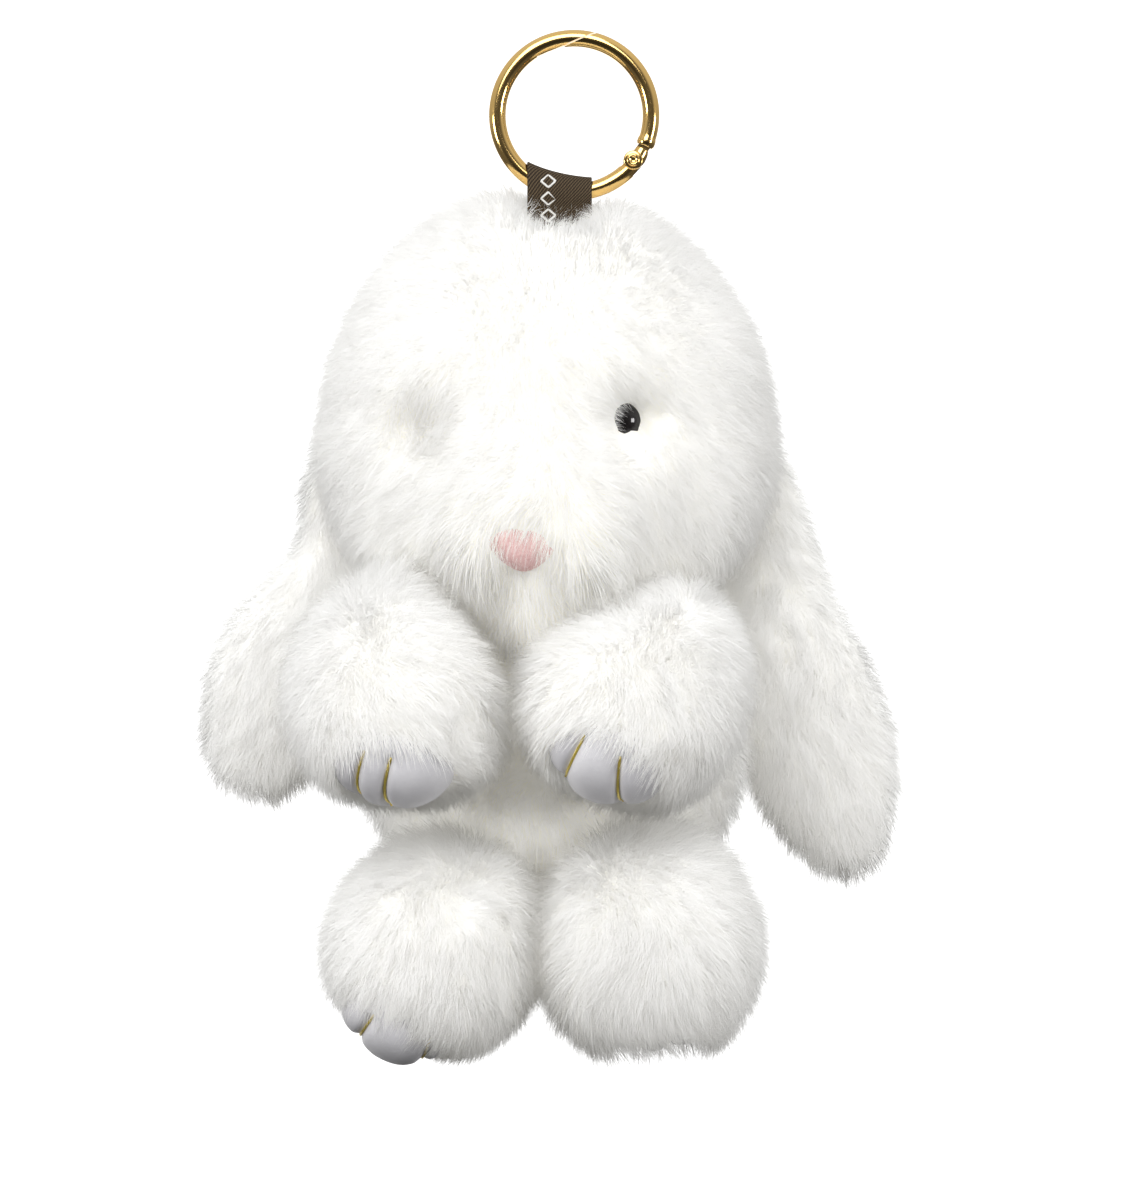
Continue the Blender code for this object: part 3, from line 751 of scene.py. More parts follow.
def head_shape(d):
    """The CAD head with fuller cheeks, chin and muzzle lobes, and deeper eye hollows."""
    p = d * HEAD_HALF
    crown = np.maximum(0.0, d[:, 2])
    chin = np.maximum(0.0, -d[:, 2])
    p[:, 1] *= 1.0 + 0.03 * crown
    p[:, 0] *= 1.0 + 0.08 * np.sin(np.pi * chin) - 0.03 * crown
    front = (d[:, 1] < -0.2)[:, None]
    for push, place, width in MUZZLE_BUMPS:
        p += np.array(push) * bump_at(p, place, width)
    for lobe_x in (-16.0, 8.0):
        p += np.array((0.0, -7.0, -3.5)) * bump_at(p, (lobe_x, -34.0, -26.0), 8.5) * front
    for cheek_x in (-30.0, 29.0):
        p += np.array((cheek_x / 10.0, -3.0, -4.0)) * bump_at(p, (cheek_x, -14.0, -26.0), 14.0)
    raised = np.exp(-((p[:, 0] + 2.0) / 30.0) ** 2 - (p[:, 1] / 24.0) ** 2)
    notch = np.exp(-((p[:, 0] - RIBBON_X) / 9.0) ** 4 - ((p[:, 1] + 5.0) / 10.0) ** 2)
    p[:, 2] += (4.5 * raised - 9.0 * notch) * np.clip(d[:, 2] * 3.0 - 1.2, 0.0, 1.0)
    for side, (eye_x, eye_z) in EYE_XZ.items():
        away = np.hypot(eye_x - HEAD_CENTRE[0] - p[:, 0],
                        eye_z - DIMPLE_DROP[side] - HEAD_CENTRE[2] - p[:, 2])
        p[:, 1] += DIMPLE[side] * bell(away / 6.5) * front[:, 0]
    return p


HEAD_FORM = (head_shape, np.eye(3), HEAD_CENTRE)


def torso_shape(d):
    """The CAD pear with a fuller belly."""
    p = d * np.array((37.5, 22.5, 29.0))
    p[:, 0] *= 1.0 - 0.10 * d[:, 2]
    p[:, 1] *= 1.0 - 0.08 * d[:, 2]
    return p + np.array((0.0, -9.0, 0.0)) * bump_at(p, (-3.0, -20.0, -12.0), 16.0)


def arm_shape_for(side):
    """The arm of one side, paw at local -Z, its inner shoulder sloping down."""
    inner = {"left": 1.0, "right": -1.0}[side]

    def arm_shape(d):
        p = d * np.array((19.0, 16.5, 25.0))
        p[:, 0] *= 1.0 - 0.08 * d[:, 2]
        slope = np.clip(d[:, 0] * inner + 0.15, 0.0, 1.0) * np.clip(d[:, 2] + 0.3, 0.0, 1.0)
        return p + slope[:, None] * np.array((-3.0 * inner, 4.0, -9.0))
    return arm_shape


def leg_shape(d):
    """The CAD leg, sole at local -Z."""
    p = d * np.array((18.8, 15.5, 20.8))
    p[:, :2] *= 1.0 - 0.07 * d[:, 2:3]
    return p


def ear_shape_for(side):
    """The CAD ear of one side, root at the local origin."""
    half, sign, tuck = {"left": (38.0, -1.0, 8.0), "right": (45.0, 1.0, 4.0)}[side]

    def ear_shape(d):
        width = 0.62 + 0.5 * (0.5 - 0.5 * d[:, 2])
        down = 0.5 - 0.5 * d[:, 2]
        curve = 4.0 * down ** 2 - tuck * bell((down - 0.34) / 0.2)
        return np.stack((d[:, 0] * 15.5 * width + curve * sign, d[:, 1] * 5.5 * width,
                         d[:, 2] * half - half), axis=1)
    return ear_shape


def tail_shape(d):
    """A ball."""
    return d * 9.0


def surface(form, d):
    """Points, outward normals and area per direction of a form, in mm in the row frame.

    A form is a shape of unit directions, its turn and its centre.
    """
    shape, turn, centre = form
    step = 0.004
    helper = np.where(np.abs(d[:, 2:3]) < 0.9, (0.0, 0.0, 1.0), (1.0, 0.0, 0.0))
    e1 = unit(np.cross(helper, d))
    e2 = np.cross(d, e1)
    p = shape(d)
    a = shape(unit(d + e1 * step)) - p
    b = shape(unit(d + e2 * step)) - p
    cross = np.cross(a, b)
    area = np.linalg.norm(cross, axis=1) / step ** 2
    return p @ turn.T + centre, unit(cross) @ turn.T, area


def fibonacci(count):
    """Directions spread evenly over a sphere."""
    i = np.arange(count) + 0.5
    z = 1.0 - 2.0 * i / count
    a = np.pi * (1.0 + 5.0 ** 0.5) * i
    r = np.sqrt(1.0 - z * z)
    return np.stack((r * np.cos(a), r * np.sin(a), z), axis=1)


class Swirl:
    """Smooth seeded vector noise in mm, as a sum of waves."""

    def __init__(self, seed, wavelength):
        rng = np.random.default_rng(seed)
        self.waves = unit(rng.normal(size=(10, 3))) * 2.0 * np.pi / wavelength
        self.waves *= rng.uniform(0.6, 1.6, (10, 1))
        self.phases = rng.uniform(0.0, 2.0 * np.pi, (10, 3))
        self.size = 1.0 / math.sqrt(5.0)

    def __call__(self, p):
        angle = p @ self.waves.T
        total = np.zeros((len(p), 3))
        for k in range(3):
            total[:, k] = np.sin(angle + self.phases[:, k]).sum(axis=1)
        return total * self.size


def undercoat(name, form, body, nodes, seed, pad=False):
    """The dense wool under the guard hairs, a soft lumpy closed form, sunk under a pad."""
    bm = bmesh.new()
    bmesh.ops.create_icosphere(bm, subdivisions=6, radius=1.0)
    d = np.array([v.co[:] for v in bm.verts])
    p, n, _ = surface(form, unit(d))
    lumps = Swirl(seed, 7.0)(p)[:, :1] * 0.35 + Swirl(seed + 1, 3.0)(p)[:, :1] * 0.2
    if pad:
        under = (-d[:, 2:3] - math.cos(math.radians(PAD_ANGLE + 4.0))) / 0.06
        lumps = lumps + 2.5 * np.clip(under, 0.0, 1.0)
    p = (p - n * (UNDERCOAT_SINK + lumps)) * MM
    for vert, place in zip(bm.verts, p):
        vert.co = place
    obj = finish_piece(name, mesh_from(bm, name), [UNDERCOAT], body)
    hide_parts(*nodes)


def scatter(form, count, keep, rng):
    """Evenly spread points and normals on a form, thinned where keep is low."""
    d = fibonacci(count * 3)
    d = unit(d + rng.normal(size=d.shape) * 0.6 / math.sqrt(count))
    p, n, area = surface(form, d)
    share = keep(p, n, d)
    odds = area / np.percentile(area[share > 0.0], 97.0) * share
    chosen = np.flatnonzero(rng.random(len(d)) < odds)
    rng.shuffle(chosen)
    return p[chosen[:count]], n[chosen[:count]]


def comb_fur(p, n, options):
    """Directions along the surface in which the coat lies."""
    comb = options["comb"](p, n)
    comb = comb + Swirl(options["seed"] + 5, 26.0)(p) * 0.35
    comb = comb + Swirl(options["seed"] + 6, 7.0)(p) * 0.20
    return unit(comb - n * (comb * n).sum(axis=1, keepdims=True))


def grow_fur(name, form, body, options):
    """Short dense down and long guard hairs on a form; options describe the coat."""
    rng = np.random.default_rng(options["seed"])
    keep = options["keep"]
    p, n = scatter(form, options["down"] // THINNING, keep, rng)
    grow_down(name, p, n, comb_fur(p, n, options), body, options, rng)
    p, n = scatter(form, options["guard"] // THINNING, keep, rng)
    grow_guard(name, p, n, comb_fur(p, n, options), body, options, rng)


def grow_down(name, p, n, comb, body, options, rng):
    """Straight soft hairs that fill the coat."""
    length = options["length"](p, n) * rng.uniform(0.45, 0.72, len(p))
    lift = options["lift"](p, n) + rng.normal(12.0, 9.0, len(p))
    lift = np.radians(np.clip(lift, 25.0, 88.0))[:, None]
    way = unit(n * np.sin(lift) + comb * np.cos(lift) + rng.normal(0.0, 0.12, p.shape))
    root = p - n * DOWN_SINK
    tip = root + way * length[:, None]
    width = rng.uniform(*DOWN_WIDTH, len(p))
    shade = options["shade"](p, n, rng)
    write_strands(f"{name}_down", [root], tip, width, n, shade, body, rng)


def grow_guard(name, p, n, comb, body, options, rng):
    """Long hairs with a bend, gathered into soft locks."""
    length = options["length"](p, n) * rng.uniform(0.72, 1.12, len(p))
    lift = options["lift"](p, n) + rng.normal(0.0, 7.0, len(p))
    lift = np.radians(np.clip(lift, 12.0, 85.0))[:, None]
    side = np.cross(n, comb) * rng.normal(0.0, 0.16, (len(p), 1))
    first = unit(n * np.sin(lift) + (comb + side) * np.cos(lift))
    bend = options["bend"] * rng.uniform(0.5, 1.4, (len(p), 1))
    second = unit(first + (comb + side * 2.0) * bend + np.array((0.0, 0.0, -0.12)))
    root = p - n * ROOT_SINK
    mid = root + first * length[:, None] * 0.5
    tip = mid + second * length[:, None] * 0.5
    mid, tip = clump(root, mid, tip, options, rng)
    width = rng.uniform(*GUARD_WIDTH, len(p))
    shade = options["shade"](p, n, rng)
    write_strands(f"{name}_guard", [root, mid], tip, width, n, shade, body, rng)


def clump(root, mid, tip, options, rng):
    """Draw each tip towards the tip of its nearest leading strand."""
    spacing = max(1, options["clump_of"] // THINNING)
    lead = np.arange(0, len(root), spacing)
    tree = KDTree(len(lead))
    for k, index in enumerate(lead):
        tree.insert(root[index], k)
    tree.balance()
    nearest = lead[np.array([tree.find(r)[1] for r in root])]
    pull = (options["clump"](root, root) * rng.uniform(0.4, 1.0, len(root)))[:, None]
    drift = root - root[nearest]
    new_tip = tip + (tip[nearest] + drift * 0.15 - tip) * pull
    new_mid = mid + (mid[nearest] + drift * 0.6 - mid) * pull * 0.5
    return new_mid, new_tip


def write_strands(name, rings, tip, width, n, shade, body, rng):
    """Closed three-sided spikes through one or two rings, lit like the coat."""
    count, levels = len(tip), len(rings)
    axis = unit(tip - rings[0])
    u = unit(np.cross(axis, unit(rng.normal(size=(count, 3)))))
    v = np.cross(axis, u)
    verts = np.empty((count, 3 * levels + 1, 3))
    normals = np.empty(verts.shape)
    normals[:] = n[:, None]
    for k in range(3):
        a = 2.0 * math.pi * k / 3.0
        around = u * math.cos(a) + v * math.sin(a)
        for level, ring in enumerate(rings):
            verts[:, 3 * level + k] = ring + around * width[:, None] * (1.0 - 0.2 * level)
            normals[:, 3 * level + k] += around * STRAND_ROUND
    verts[:, -1] = tip
    normals[:, -1] += axis * STRAND_ROUND
    last = 3 * (levels - 1)
    tris = [(0, 2, 1)]
    for k in range(3):
        m = (k + 1) % 3
        if levels == 2:
            tris += [(k, m, 3 + m), (k, 3 + m, 3 + k)]
        tris.append((last + k, last + m, last + 3))
    tris = np.array(tris)
    pieces = math.ceil(count * len(tris) / FACES_PER_PIECE)
    for index, part in enumerate(np.array_split(np.arange(count), pieces), start=1):
        label = f"{name}_{index}" if pieces > 1 else name
        strand_mesh(label, verts[part], normals[part], tris, shade[part], body, levels == 2)


def strand_mesh(label, verts, normals, tris, shade, body, shadow):
    """One mesh object from an array of strands."""
    count, points = verts.shape[:2]
    corners = (tris[None] + np.arange(count)[:, None, None] * points).reshape(-1)
    faces = count * len(tris)
    mesh = bpy.data.meshes.new(label)
    mesh.vertices.add(count * points)
    mesh.vertices.foreach_set("co", (verts.reshape(-1) * MM).astype(np.float32))
    mesh.loops.add(faces * 3)
    mesh.loops.foreach_set("vertex_index", corners.astype(np.int32))
    mesh.polygons.add(faces)
    mesh.polygons.foreach_set("loop_start", np.arange(0, faces * 3, 3, dtype=np.int32))
    mesh.update(calc_edges=True)
    strands = finish_piece(label, mesh, FIBRES, body)
    strands.visible_shadow = shadow
    mesh.polygons.foreach_set("material_index", np.repeat(shade, len(tris)).astype(np.int32))
    mesh.normals_split_custom_set_from_vertices(unit(normals.reshape(-1, 3)))


# Fur options

def everywhere(p, n, d):
    """Strands all over."""
    return np.ones(len(p))


def shade_by(painted_shade):
    """Mostly white fibres, with ivory ones at random, and more ivory and cream ones where the
    painted shade is high: painted shade in the hollows.
    """
    def shade(p, n, rng):
        shade_amount = painted_shade(p, n)
        roll = rng.random(len(p))
        return (roll < 0.12 + 0.6 * shade_amount).astype(int) + (roll < 0.45 * shade_amount - 0.05).astype(int)
    return shade


def fall(p, n):
    """Fur that lies down under gravity."""
    return np.tile((0.0, 0.0, -1.0), (len(p), 1))


def from_point(place, down=0.6):
    """Fur that spreads away from a place and falls."""
    def comb(p, n):
        away = (p - np.array(place)) * np.array((1.0, 0.2, 1.0))
        return unit(away) + np.array((0.0, 0.0, -down))
    return comb


def constant(value):
    """The same value everywhere."""
    def same(p, n):
        return np.full(len(p), value)
    return same


def fringe(value, sole):
    """Long over the pad, whose middle is the sole, and shorter under it."""
    def length(p, n):
        near = np.clip((19.0 - np.linalg.norm(p - sole, axis=1)) / 6.0, 0.0, 1.0)
        under = np.clip((sole[2] + 4.0 - p[:, 2]) / 6.0, 0.0, 1.0)
        return value * (1.0 - near * (0.15 + 0.30 * under))
    return length


def muzzle_patch(p, z, wide, tall):
    """1 at a height on the muzzle's middle line, fading round it, on the front only."""
    away = np.hypot((p[:, 0] - MUZZLE_X) / wide, (p[:, 2] - z) / tall)
    return bell(away) * (p[:, 1] < 0.0)


def head_comb(p, n):
    """Out and down from the crown, parted down each side of the muzzle."""
    out = unit(p - np.array((HEAD_CENTRE[0], 6.0, -34.0))) + np.array((0.0, 0.0, -0.6))
    aside = (p[:, 0] - MUZZLE_X) * 0.05
    part = np.stack((aside, np.zeros(len(p)), np.full(len(p), -1.0)), axis=1)
    near = muzzle_patch(p, -101.0, 24.0, 16.0)[:, None]
    out = out * (1.0 - near) + part * near
    for side, lean in (("left", (1.2, 0.0, -1.2)), ("right", (1.6, 0.0, -0.5))):
        over = bell(eye_distance(p, side, (-3.0, 2.0)) / 6.5)[:, None]
        out = out * (1.0 - 0.7 * over) + np.array(lean) * over
    return out


def head_lift(p, n):
    """Upright and plush over the head, lying flatter on the muzzle and chin."""
    return 61.0 - 33.0 * muzzle_patch(p, -104.0, 22.0, 15.0)


def head_clump(p, n):
    """Locks gather on the muzzle and hardly elsewhere."""
    return 0.18 + 0.42 * muzzle_patch(p, -106.0, 22.0, 13.0)


def softer_above(middle, spread):
    """Upright and plush above a height, lying flatter below it."""
    def lift(p, n):
        return 41.0 + 14.0 * np.tanh((p[:, 2] - middle) / spread)
    return lift


def in_front(p, away):
    """A distance seen from the front, and far away for points behind."""
    return np.where(p[:, 1] < 0.0, away, 99.0)


def eye_distance(p, side, shift=(0.0, 0.0)):
    """How far each front point is from an eye."""
    x, z = EYE_XZ[side]
    return in_front(p, np.hypot(p[:, 0] - x - shift[0], p[:, 2] - z - shift[1]))


def nose_distance(p):
    """How far each front point is from the nose."""
    return in_front(p, np.hypot((p[:, 0] - NOSE_XZ[0]) * 0.75, p[:, 2] - NOSE_XZ[1]))


def head_length(p, n):
    """Longer on the muzzle and left eye, short by the right eye, nose and ribbon."""
    length = np.full(len(p), 9.5)
    length += 2.0 * muzzle_patch(p, -101.0, 20.0, 12.0)
    for lobe_x in (-21.0, 4.0):
        lobe = np.hypot(p[:, 0] - lobe_x, p[:, 2] + 104.0)
        length += 4.5 * bell(lobe / 7.5) * (p[:, 1] < 0.0)
    length *= 1.0 - 0.65 * bell(eye_distance(p, "right", (1.5, -0.5)) / 8.0)
    length += 3.0 * bell(eye_distance(p, "left", (-2.0, 2.0)) / 6.0)
    length *= 1.0 - 0.30 * bell(nose_distance(p) / 5.0)
    front = (p[:, 1] < 0.5) * (p[:, 2] > -50.0)
    ribbon = np.hypot((p[:, 0] + 5.5) * 0.75, (p[:, 1] + 5.0) * 0.55)
    length *= 1.0 - 0.72 * bell(ribbon / 6.5) * front
    return length


def head_keep(p, n, d):
    """No roots under the right eye's dome or the ribbon, and few under the nose."""
    keep = (eye_distance(p, "right", (1.5, -1.6)) > 5.6).astype(float)
    keep *= 1.0 - 0.7 * (nose_distance(p) < 4.2)
    ribbon = (np.abs(p[:, 0] + 3.0) < 6.8) & (np.abs(p[:, 1]) < 2.4) & (p[:, 2] > -45.0)
    return keep * ~ribbon


def head_painted_shade(p, n):
    """Painted shade: more ivory and cream fibres in the eye hollows, on the muzzle and under the
    chin, where shade falls.
    """
    shade_amount = 0.8 * bell(eye_distance(p, "left") / 7.0)
    shade_amount += 0.5 * bell(eye_distance(p, "right") / 6.0)
    shade_amount += 1.2 * bell((p[:, 2] + 117.0) / 8.0) * (p[:, 1] < 5.0)
    shade_amount += 0.85 * muzzle_patch(p, -101.0, 20.0, 11.0)
    return np.clip(shade_amount, 0.0, 1.0)


def torso_painted_shade(p, n):
    """Painted shade between the limbs, where shade falls."""
    return np.clip(0.75 - np.abs(p[:, 0] + 4.5) / 60.0, 0.0, 1.0) * (p[:, 1] < 6.0)


def off_pad(p, n, d):
    """No roots on the pad; d is local, the pad is round -Z."""
    return (d[:, 2] > -math.cos(math.radians(PAD_ANGLE))).astype(float)


def inner_painted_shade(centre_x, sign):
    """Painted shade on the side that faces the middle of the body, where shade falls between the
    parts.
    """
    def painted_shade(p, n):
        return np.clip(sign * (p[:, 0] - centre_x) / 26.0, 0.0, 1.0) * 0.55
    return painted_shade


def make_head():
    """Undercoat and coat of the head."""
    undercoat("head_undercoat", HEAD_FORM, "head", ["head_pelt"], 11)
    grow_fur("head", HEAD_FORM, "head", {
        "seed": 21, "down": 95000, "guard": 46000, "keep": head_keep, "comb": head_comb,
        "length": head_length, "lift": head_lift, "bend": 0.55, "clump": head_clump,
        "clump_of": 20, "shade": shade_by(head_painted_shade)})


def make_torso():
    """Undercoat and coat of the body."""
    form = (torso_shape, np.eye(3), TORSO_CENTRE)
    undercoat("body_undercoat", form, "torso", ["body_pelt"], 31)
    grow_fur("body", form, "torso", {
        "seed": 32, "down": 24000, "guard": 18000, "keep": everywhere, "comb": fall,
        "length": constant(9.0), "lift": constant(46.0), "bend": 0.5,
        "clump": constant(0.35), "clump_of": 18, "shade": shade_by(torso_painted_shade)})


def make_tail():
    """Undercoat and coat of the tail, in the middle of the CAD's."""
    low, high = node_box("tail")
    centre = (low + high) / 2.0
    form = (tail_shape, np.eye(3), centre)
    undercoat("tail_undercoat", form, "torso", ["tail"], 35)
    grow_fur("tail", form, "torso", {
        "seed": 36, "down": 4000, "guard": 3000, "keep": everywhere,
        "comb": from_point(centre, 0.5), "length": constant(8.0), "lift": constant(62.0),
        "bend": 0.3, "clump": constant(0.3), "clump_of": 14, "shade": shade_by(constant(0.0))})


TORSO_CENTRE = np.array((-4.5, 8.0, -144.6))
ARM_CENTRE = {"left": (-33.8, -31.5, -131.0), "right": (11.8, -32.0, -131.0)}
LEG_CENTRE = {"left": (-27.3, -18.5, -182.5), "right": (14.6, -18.5, -182.0)}
SHOULDER = {"arm_left": (-52.0, 2.0, -108.0), "arm_right": (31.0, 2.0, -106.0),
            "leg_left": (-17.0, 8.0, -158.0), "leg_right": (4.0, 8.0, -158.0)}


def arm_form(side):
    """Shape, turn and centre of an arm."""
    turn = turn_matrix(("Y", ARM_LEAN[side]), ("X", -ARM_TILT))
    return arm_shape_for(side), turn, np.array(ARM_CENTRE[side])


def leg_form(side):
    """Shape, turn and centre of a leg."""
    forward, aside = LEG_TILT[side]
    return leg_shape, turn_matrix(("Y", -aside), ("X", -forward)), np.array(LEG_CENTRE[side])


def make_limb(limb, paw, side, form, seed, length):
    """Undercoat, coat, pad and stitches of one limb."""
    body = f"{limb}_{side}"
    shape, turn, centre = form
    sign = 1.0 if side == "left" else -1.0
    undercoat(f"{body}_undercoat", form, body, [f"{body}_pelt"], seed, True)
    sole = centre + turn @ shape(SOLE)[0]
    grow_fur(body, form, body, {
        "seed": seed + 1, "down": 32000, "guard": 16000, "keep": off_pad,
        "comb": from_point(SHOULDER[body], 0.5), "bend": 0.45,
        "length": constant(11.5) if body == "leg_right" else fringe(length, sole),
        "lift": softer_above(centre[2], 14.0), "clump": constant(0.3), "clump_of": 20,
        "shade": shade_by(inner_painted_shade(centre[0], sign))})
    make_pad(f"{paw}_{side}", form, body)


SOLE = np.array([(0.0, 0.0, -1.0)])    # local direction of a pad's middle
TOES = {"paw_left": ((-0.22, 0.04), -0.09, (0.02, 0.02), 2.2),   # lines, bow, leans, puff
        "paw_right": ((-0.30, 0.19), 0.0, (0.0, 0.25), 2.2),
        "foot_left": ((-0.20, 0.38), 0.0, (0.0, 0.0), 4.5),
        "foot_right": ((-0.16, 0.16), 0.0, (0.0, 0.0), 1.0)}


def toe_line(name, index, y):
    """Local unit x of a groove between two toes at local unit y."""
    lines, bow, leans, _ = TOES[name]
    return lines[index] + bow * np.cos(np.clip(y * 2.6, -1.5, 1.5)) + leans[index] * y


def pad_height(name, d):
    """Puffed toes: how far the leather stands out for local directions d, in mm."""
    polar = np.degrees(np.arccos(np.clip(-d[:, 2], -1.0, 1.0))) / PAD_ANGLE
    rise = TOES[name][3] * (1.0 - np.clip(polar, 0.0, 1.2) ** 3)
    reach = bell(np.clip(np.abs(d[:, 1]) - 0.35, 0.0, 1.0) / 0.1)
    for index in range(2):
        gap = d[:, 0] - toe_line(name, index, d[:, 1])
        rise -= (0.8 * bell(gap / 0.12) + 0.9 * bell(gap / 0.04)) * reach
    return rise


def make_pad(name, form, body):
    """The leather cap with its toes, and the two gold stitches in the grooves."""
    rings, around = 44, 120
    polar = np.linspace(0.0, math.radians(PAD_ANGLE + PAD_RIM), rings)[1:]
    verts = []
    angles = np.arange(around) * 2.0 * np.pi / around
    for q in polar:
        d = np.stack((np.sin(q) * np.cos(angles), np.sin(q) * np.sin(angles),
                      np.full(around, -math.cos(q))), axis=1)
        verts.append(pad_points(name, form, d, q))
    tip = pad_points(name, form, SOLE, 0.0)
    grid = np.concatenate(verts)
    faces = grid_faces(rings - 1, around)
    first = len(grid)
    faces += [(first, (k + 1) % around, k) for k in range(around)]
    pad = add_piece(f"{name}_leather", np.concatenate((grid, tip)) * MM, faces, [LEATHER],
                    body, "grey_leather")
    skin = pad.modifiers.new("thickness", "SOLIDIFY")
    skin.thickness = LEATHER_THICK
    skin.offset = -1.0
    apply_modifiers(pad)
    smooth_faces(pad.data)
    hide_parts(f"{name}_pad")
    for index in range(2):
        make_stitch(name, index, form, body)


def pad_points(name, form, d, polar):
    """Points of the leather for directions at one distance from its middle."""
    p, n, _ = surface(form, d)
    tuck = np.clip((math.degrees(polar) - PAD_ANGLE) / PAD_RIM, 0.0, 1.0)
    return p + n * (pad_height(name, d) * (1.0 - tuck) - RIM_TUCK * tuck)[:, None]


def make_stitch(name, index, form, body):
    """A gold thread that lies in a toe groove and dives in at both ends."""
    y = np.sin(np.radians(np.linspace(-25.0, 27.0, 31)))
    x = toe_line(name, index, y)
    d = np.stack((x, y, -np.sqrt(1.0 - x * x - y * y)), axis=1)
    p, n, _ = surface(form, d)
    rise = pad_height(name, d) + STITCH_PROUD
    rise[[0, -1]] -= STITCH_DIVE
    points = (p + n * rise[:, None]) * MM
    verts, faces = sweep(points, [STITCH_R] * len(points), 10)
    thread = add_piece(f"{name}_thread_{index + 1}", verts, faces, [THREAD], body, "gold_thread")
    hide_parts(f"{name}_stitch_{index + 1}")


EAR_ROOT = {"left": (-47.6, 15.0, -78.0), "right": (37.5, 15.0, -80.0)}


def make_ear(side, seed):
    """Undercoat and coat of one ear."""
    body = f"ear_{side}"
    sign = -1.0 if side == "left" else 1.0
    root = np.array(EAR_ROOT[side])
    form = (ear_shape_for(side), turn_matrix(("Y", -sign * EAR_TILT[side])), root)
    undercoat(f"{body}_undercoat", form, body, [f"{body}_front", f"{body}_back"], seed)
    grow_fur(body, form, body, {
        "seed": seed + 1, "down": 32000, "guard": 18000, "keep": everywhere,
        "comb": from_point(root + np.array((0.0, 0.0, 8.0)), 0.4), "length": constant(9.0),
        "lift": constant(42.0), "bend": 0.4, "clump": constant(0.35), "clump_of": 18,
        "shade": shade_by(constant(0.05))})


# Face

def make_eye(side):
    """A smooth glossy bead by the CAD eye, larger and a little deeper."""
    low, _ = node_box(f"eye_{side}")
    x, z = EYE_XZ[side]
    bm = bmesh.new()
    bmesh.ops.create_uvsphere(bm, u_segments=48, v_segments=24, radius=EYE_R * MM)
    name = f"eye_bead_{side}"
    eye = finish_piece(name, mesh_from(bm, name), [EYE], "head")
    eye.location = Vector((x + EYE_SHIFT[0], low[1] + EYE_R + EYE_DEEPER[side],
                           z + EYE_SHIFT[1])) * MM
    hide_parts(f"eye_{side}")


def make_nose():
    """A small soft rounded triangle."""
    low, high = node_box("nose")
    centre = (low + high) / 2.0
    p, _, _ = surface(HEAD_FORM, fibonacci(60000))
    near = (np.hypot(p[:, 0] - centre[0], p[:, 2] - centre[2]) < 2.0) & (p[:, 1] < 0.0)
    centre[1] = p[near, 1].mean() + NOSE_PROUD
    bm = bmesh.new()
    bmesh.ops.create_uvsphere(bm, u_segments=48, v_segments=28, radius=1.0)
    for vert in bm.verts:
        taper = 1.0 + 0.4 * vert.co.z
        vert.co = Vector((vert.co.x * NOSE_HALF[0] * taper, vert.co.y * NOSE_HALF[1],
                          vert.co.z * NOSE_HALF[2])) * MM
        vert.co += Vector(centre) * MM + Vector((0.0, -NOSE_PROUD, 0.0)) * MM
    nose = finish_piece("nose_soft", mesh_from(bm, "nose_soft"), [NOSE], "head")
    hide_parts("nose")


def dress_hidden_nodes():
    """Better materials for the CAD nodes that stay."""
    kept = {"gate_spring": STEEL, "eye_washer_left": WASHER, "eye_washer_right": WASHER,
            "strap_stitch": MOTIF}
    kept.update({node: FILLING for node in frame["nodes"] if node.endswith("_stuffing")})
    for node, mat in kept.items():
        for material_slot in frame["nodes"][node].material_slots:
            material_slot.material = mat


# Camera and lights

FRAME_HEIGHT = 246.0 * MM          # what the view takes in at the ring's plane
CAMERA_DISTANCE = 0.75
VIEW_CENTRE = Vector((-2.5 * MM, 0.0, -113.4 * MM))
LIGHT_TARGET = Vector((0.0, 0.0, -0.1))


def make_camera():
    """Straight on, at the middle of the hanging charm."""
    data = bpy.data.cameras.new("camera")
    data.sensor_fit = "VERTICAL"
    data.sensor_height = 24.0
    data.lens = data.sensor_height * CAMERA_DISTANCE / FRAME_HEIGHT
    camera = bpy.data.objects.new("camera", data)
    bpy.context.scene.collection.objects.link(camera)
    camera.location = VIEW_CENTRE + Vector((0.0, -CAMERA_DISTANCE, 0.0))
    camera.rotation_euler = (math.radians(90.0), 0.0, 0.0)
    bpy.context.scene.camera = camera


def area_light(name, place, size, power):
    """A square soft light aimed at the charm."""
    data = bpy.data.lights.new(name, "AREA")
    data.shape = "SQUARE"
    data.size = size
    data.energy = power
    light = bpy.data.objects.new(name, data)
    bpy.context.scene.collection.objects.link(light)
    light.location = place
    aim = LIGHT_TARGET - Vector(place)
    light.rotation_euler = aim.to_track_quat("-Z", "Y").to_euler()


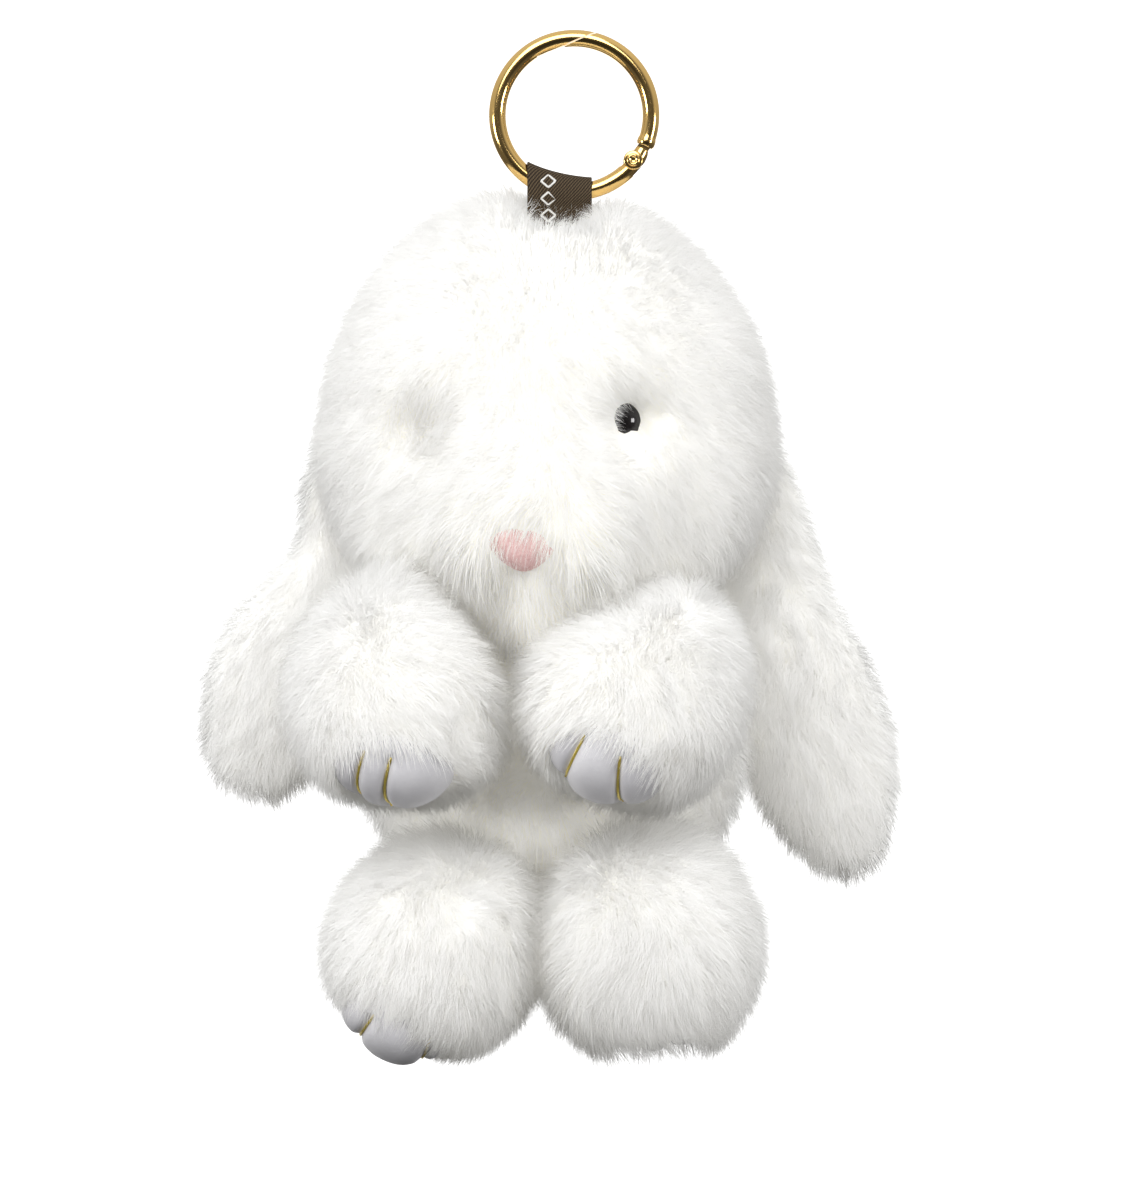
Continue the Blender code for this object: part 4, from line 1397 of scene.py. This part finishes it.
def make_world():
    """A bright ceiling and a dim room towards -Y; the camera itself sees a pale grey."""
    world = bpy.data.worlds.new("studio")
    world.use_nodes = True
    bpy.context.scene.world = world
    split = add_node(world, "ShaderNodeSeparateXYZ")
    coords = add_node(world, "ShaderNodeTexCoord")
    link(world, coords.outputs["Generated"], split.inputs["Vector"])
    height = add_node(world, "ShaderNodeMapRange", From_Min=-1.0)
    link(world, split.outputs["Z"], height.inputs["Value"])
    grey = [(0.0, 0.05), (0.40, 0.18), (0.53, 0.50), (1.0, 0.88)]
    sky = ramp(world, height.outputs["Result"], [(at, (v, v, v * 0.99)) for at, v in grey])
    front = add_node(world, "ShaderNodeMapRange", From_Min=-0.95, From_Max=-0.45, To_Min=0.2,
                     To_Max=1.0)
    front.interpolation_type = "SMOOTHSTEP"
    link(world, split.outputs["Y"], front.inputs["Value"])
    room = add_node(world, "ShaderNodeVectorMath")
    room.operation = "SCALE"
    link(world, sky, room.inputs[0])
    link(world, front.outputs["Result"], room.inputs["Scale"])
    shown = add_node(world, "ShaderNodeMix")
    shown.data_type = "RGBA"
    shown.inputs["B"].default_value = (0.94, 0.94, 0.94, 1.0)
    seen = add_node(world, "ShaderNodeLightPath")
    link(world, seen.outputs["Is Camera Ray"], shown.inputs["Factor"])
    link(world, room.outputs["Vector"], shown.inputs["A"])
    link(world, shown.outputs["Result"], world.node_tree.nodes["Background"].inputs["Color"])


def make_stage():
    """A white backdrop that glows evenly, and the room's light."""
    mat, shader = principled("backdrop_white", (0.9, 0.9, 0.9), 1.0)
    shader.inputs["Emission Color"].default_value = (1.0, 1.0, 1.0, 1.0)
    shader.inputs["Emission Strength"].default_value = 1.0
    verts = [(-0.9, 1.6, -1.0), (0.9, 1.6, -1.0), (0.9, 1.6, 0.8), (-0.9, 1.6, 0.8)]
    backdrop = add_piece("backdrop", verts, [(0, 1, 2, 3)], [mat], None, None)
    make_world()
    area_light("key", (-0.15, -1.1, 0.70), 0.9, 12.0)
    area_light("left_strip", (-0.9, -0.6, -0.05), 0.3, 3.7)
    area_light("right_strip", (0.9, -0.6, -0.05), 0.3, 3.7)
    bpy.context.scene.view_settings.view_transform = "Standard"
    bpy.context.scene.view_settings.look = "None"


def main():
    """Camera, object, stage."""
    make_camera()
    make_fixed_arc()
    make_gate()
    make_rivet()
    for piece in make_ribbon():
        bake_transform(piece)
    make_head()
    make_torso()
    make_tail()
    for index, side in enumerate(("left", "right")):
        make_limb("arm", "paw", side, arm_form(side), 50 + 10 * index, 10.5)
        make_limb("leg", "foot", side, leg_form(side), 80 + 10 * index, 10.0)
        make_ear(side, 110 + 10 * index)
        make_eye(side)
    make_nose()
    dress_hidden_nodes()
    make_stage()


main()
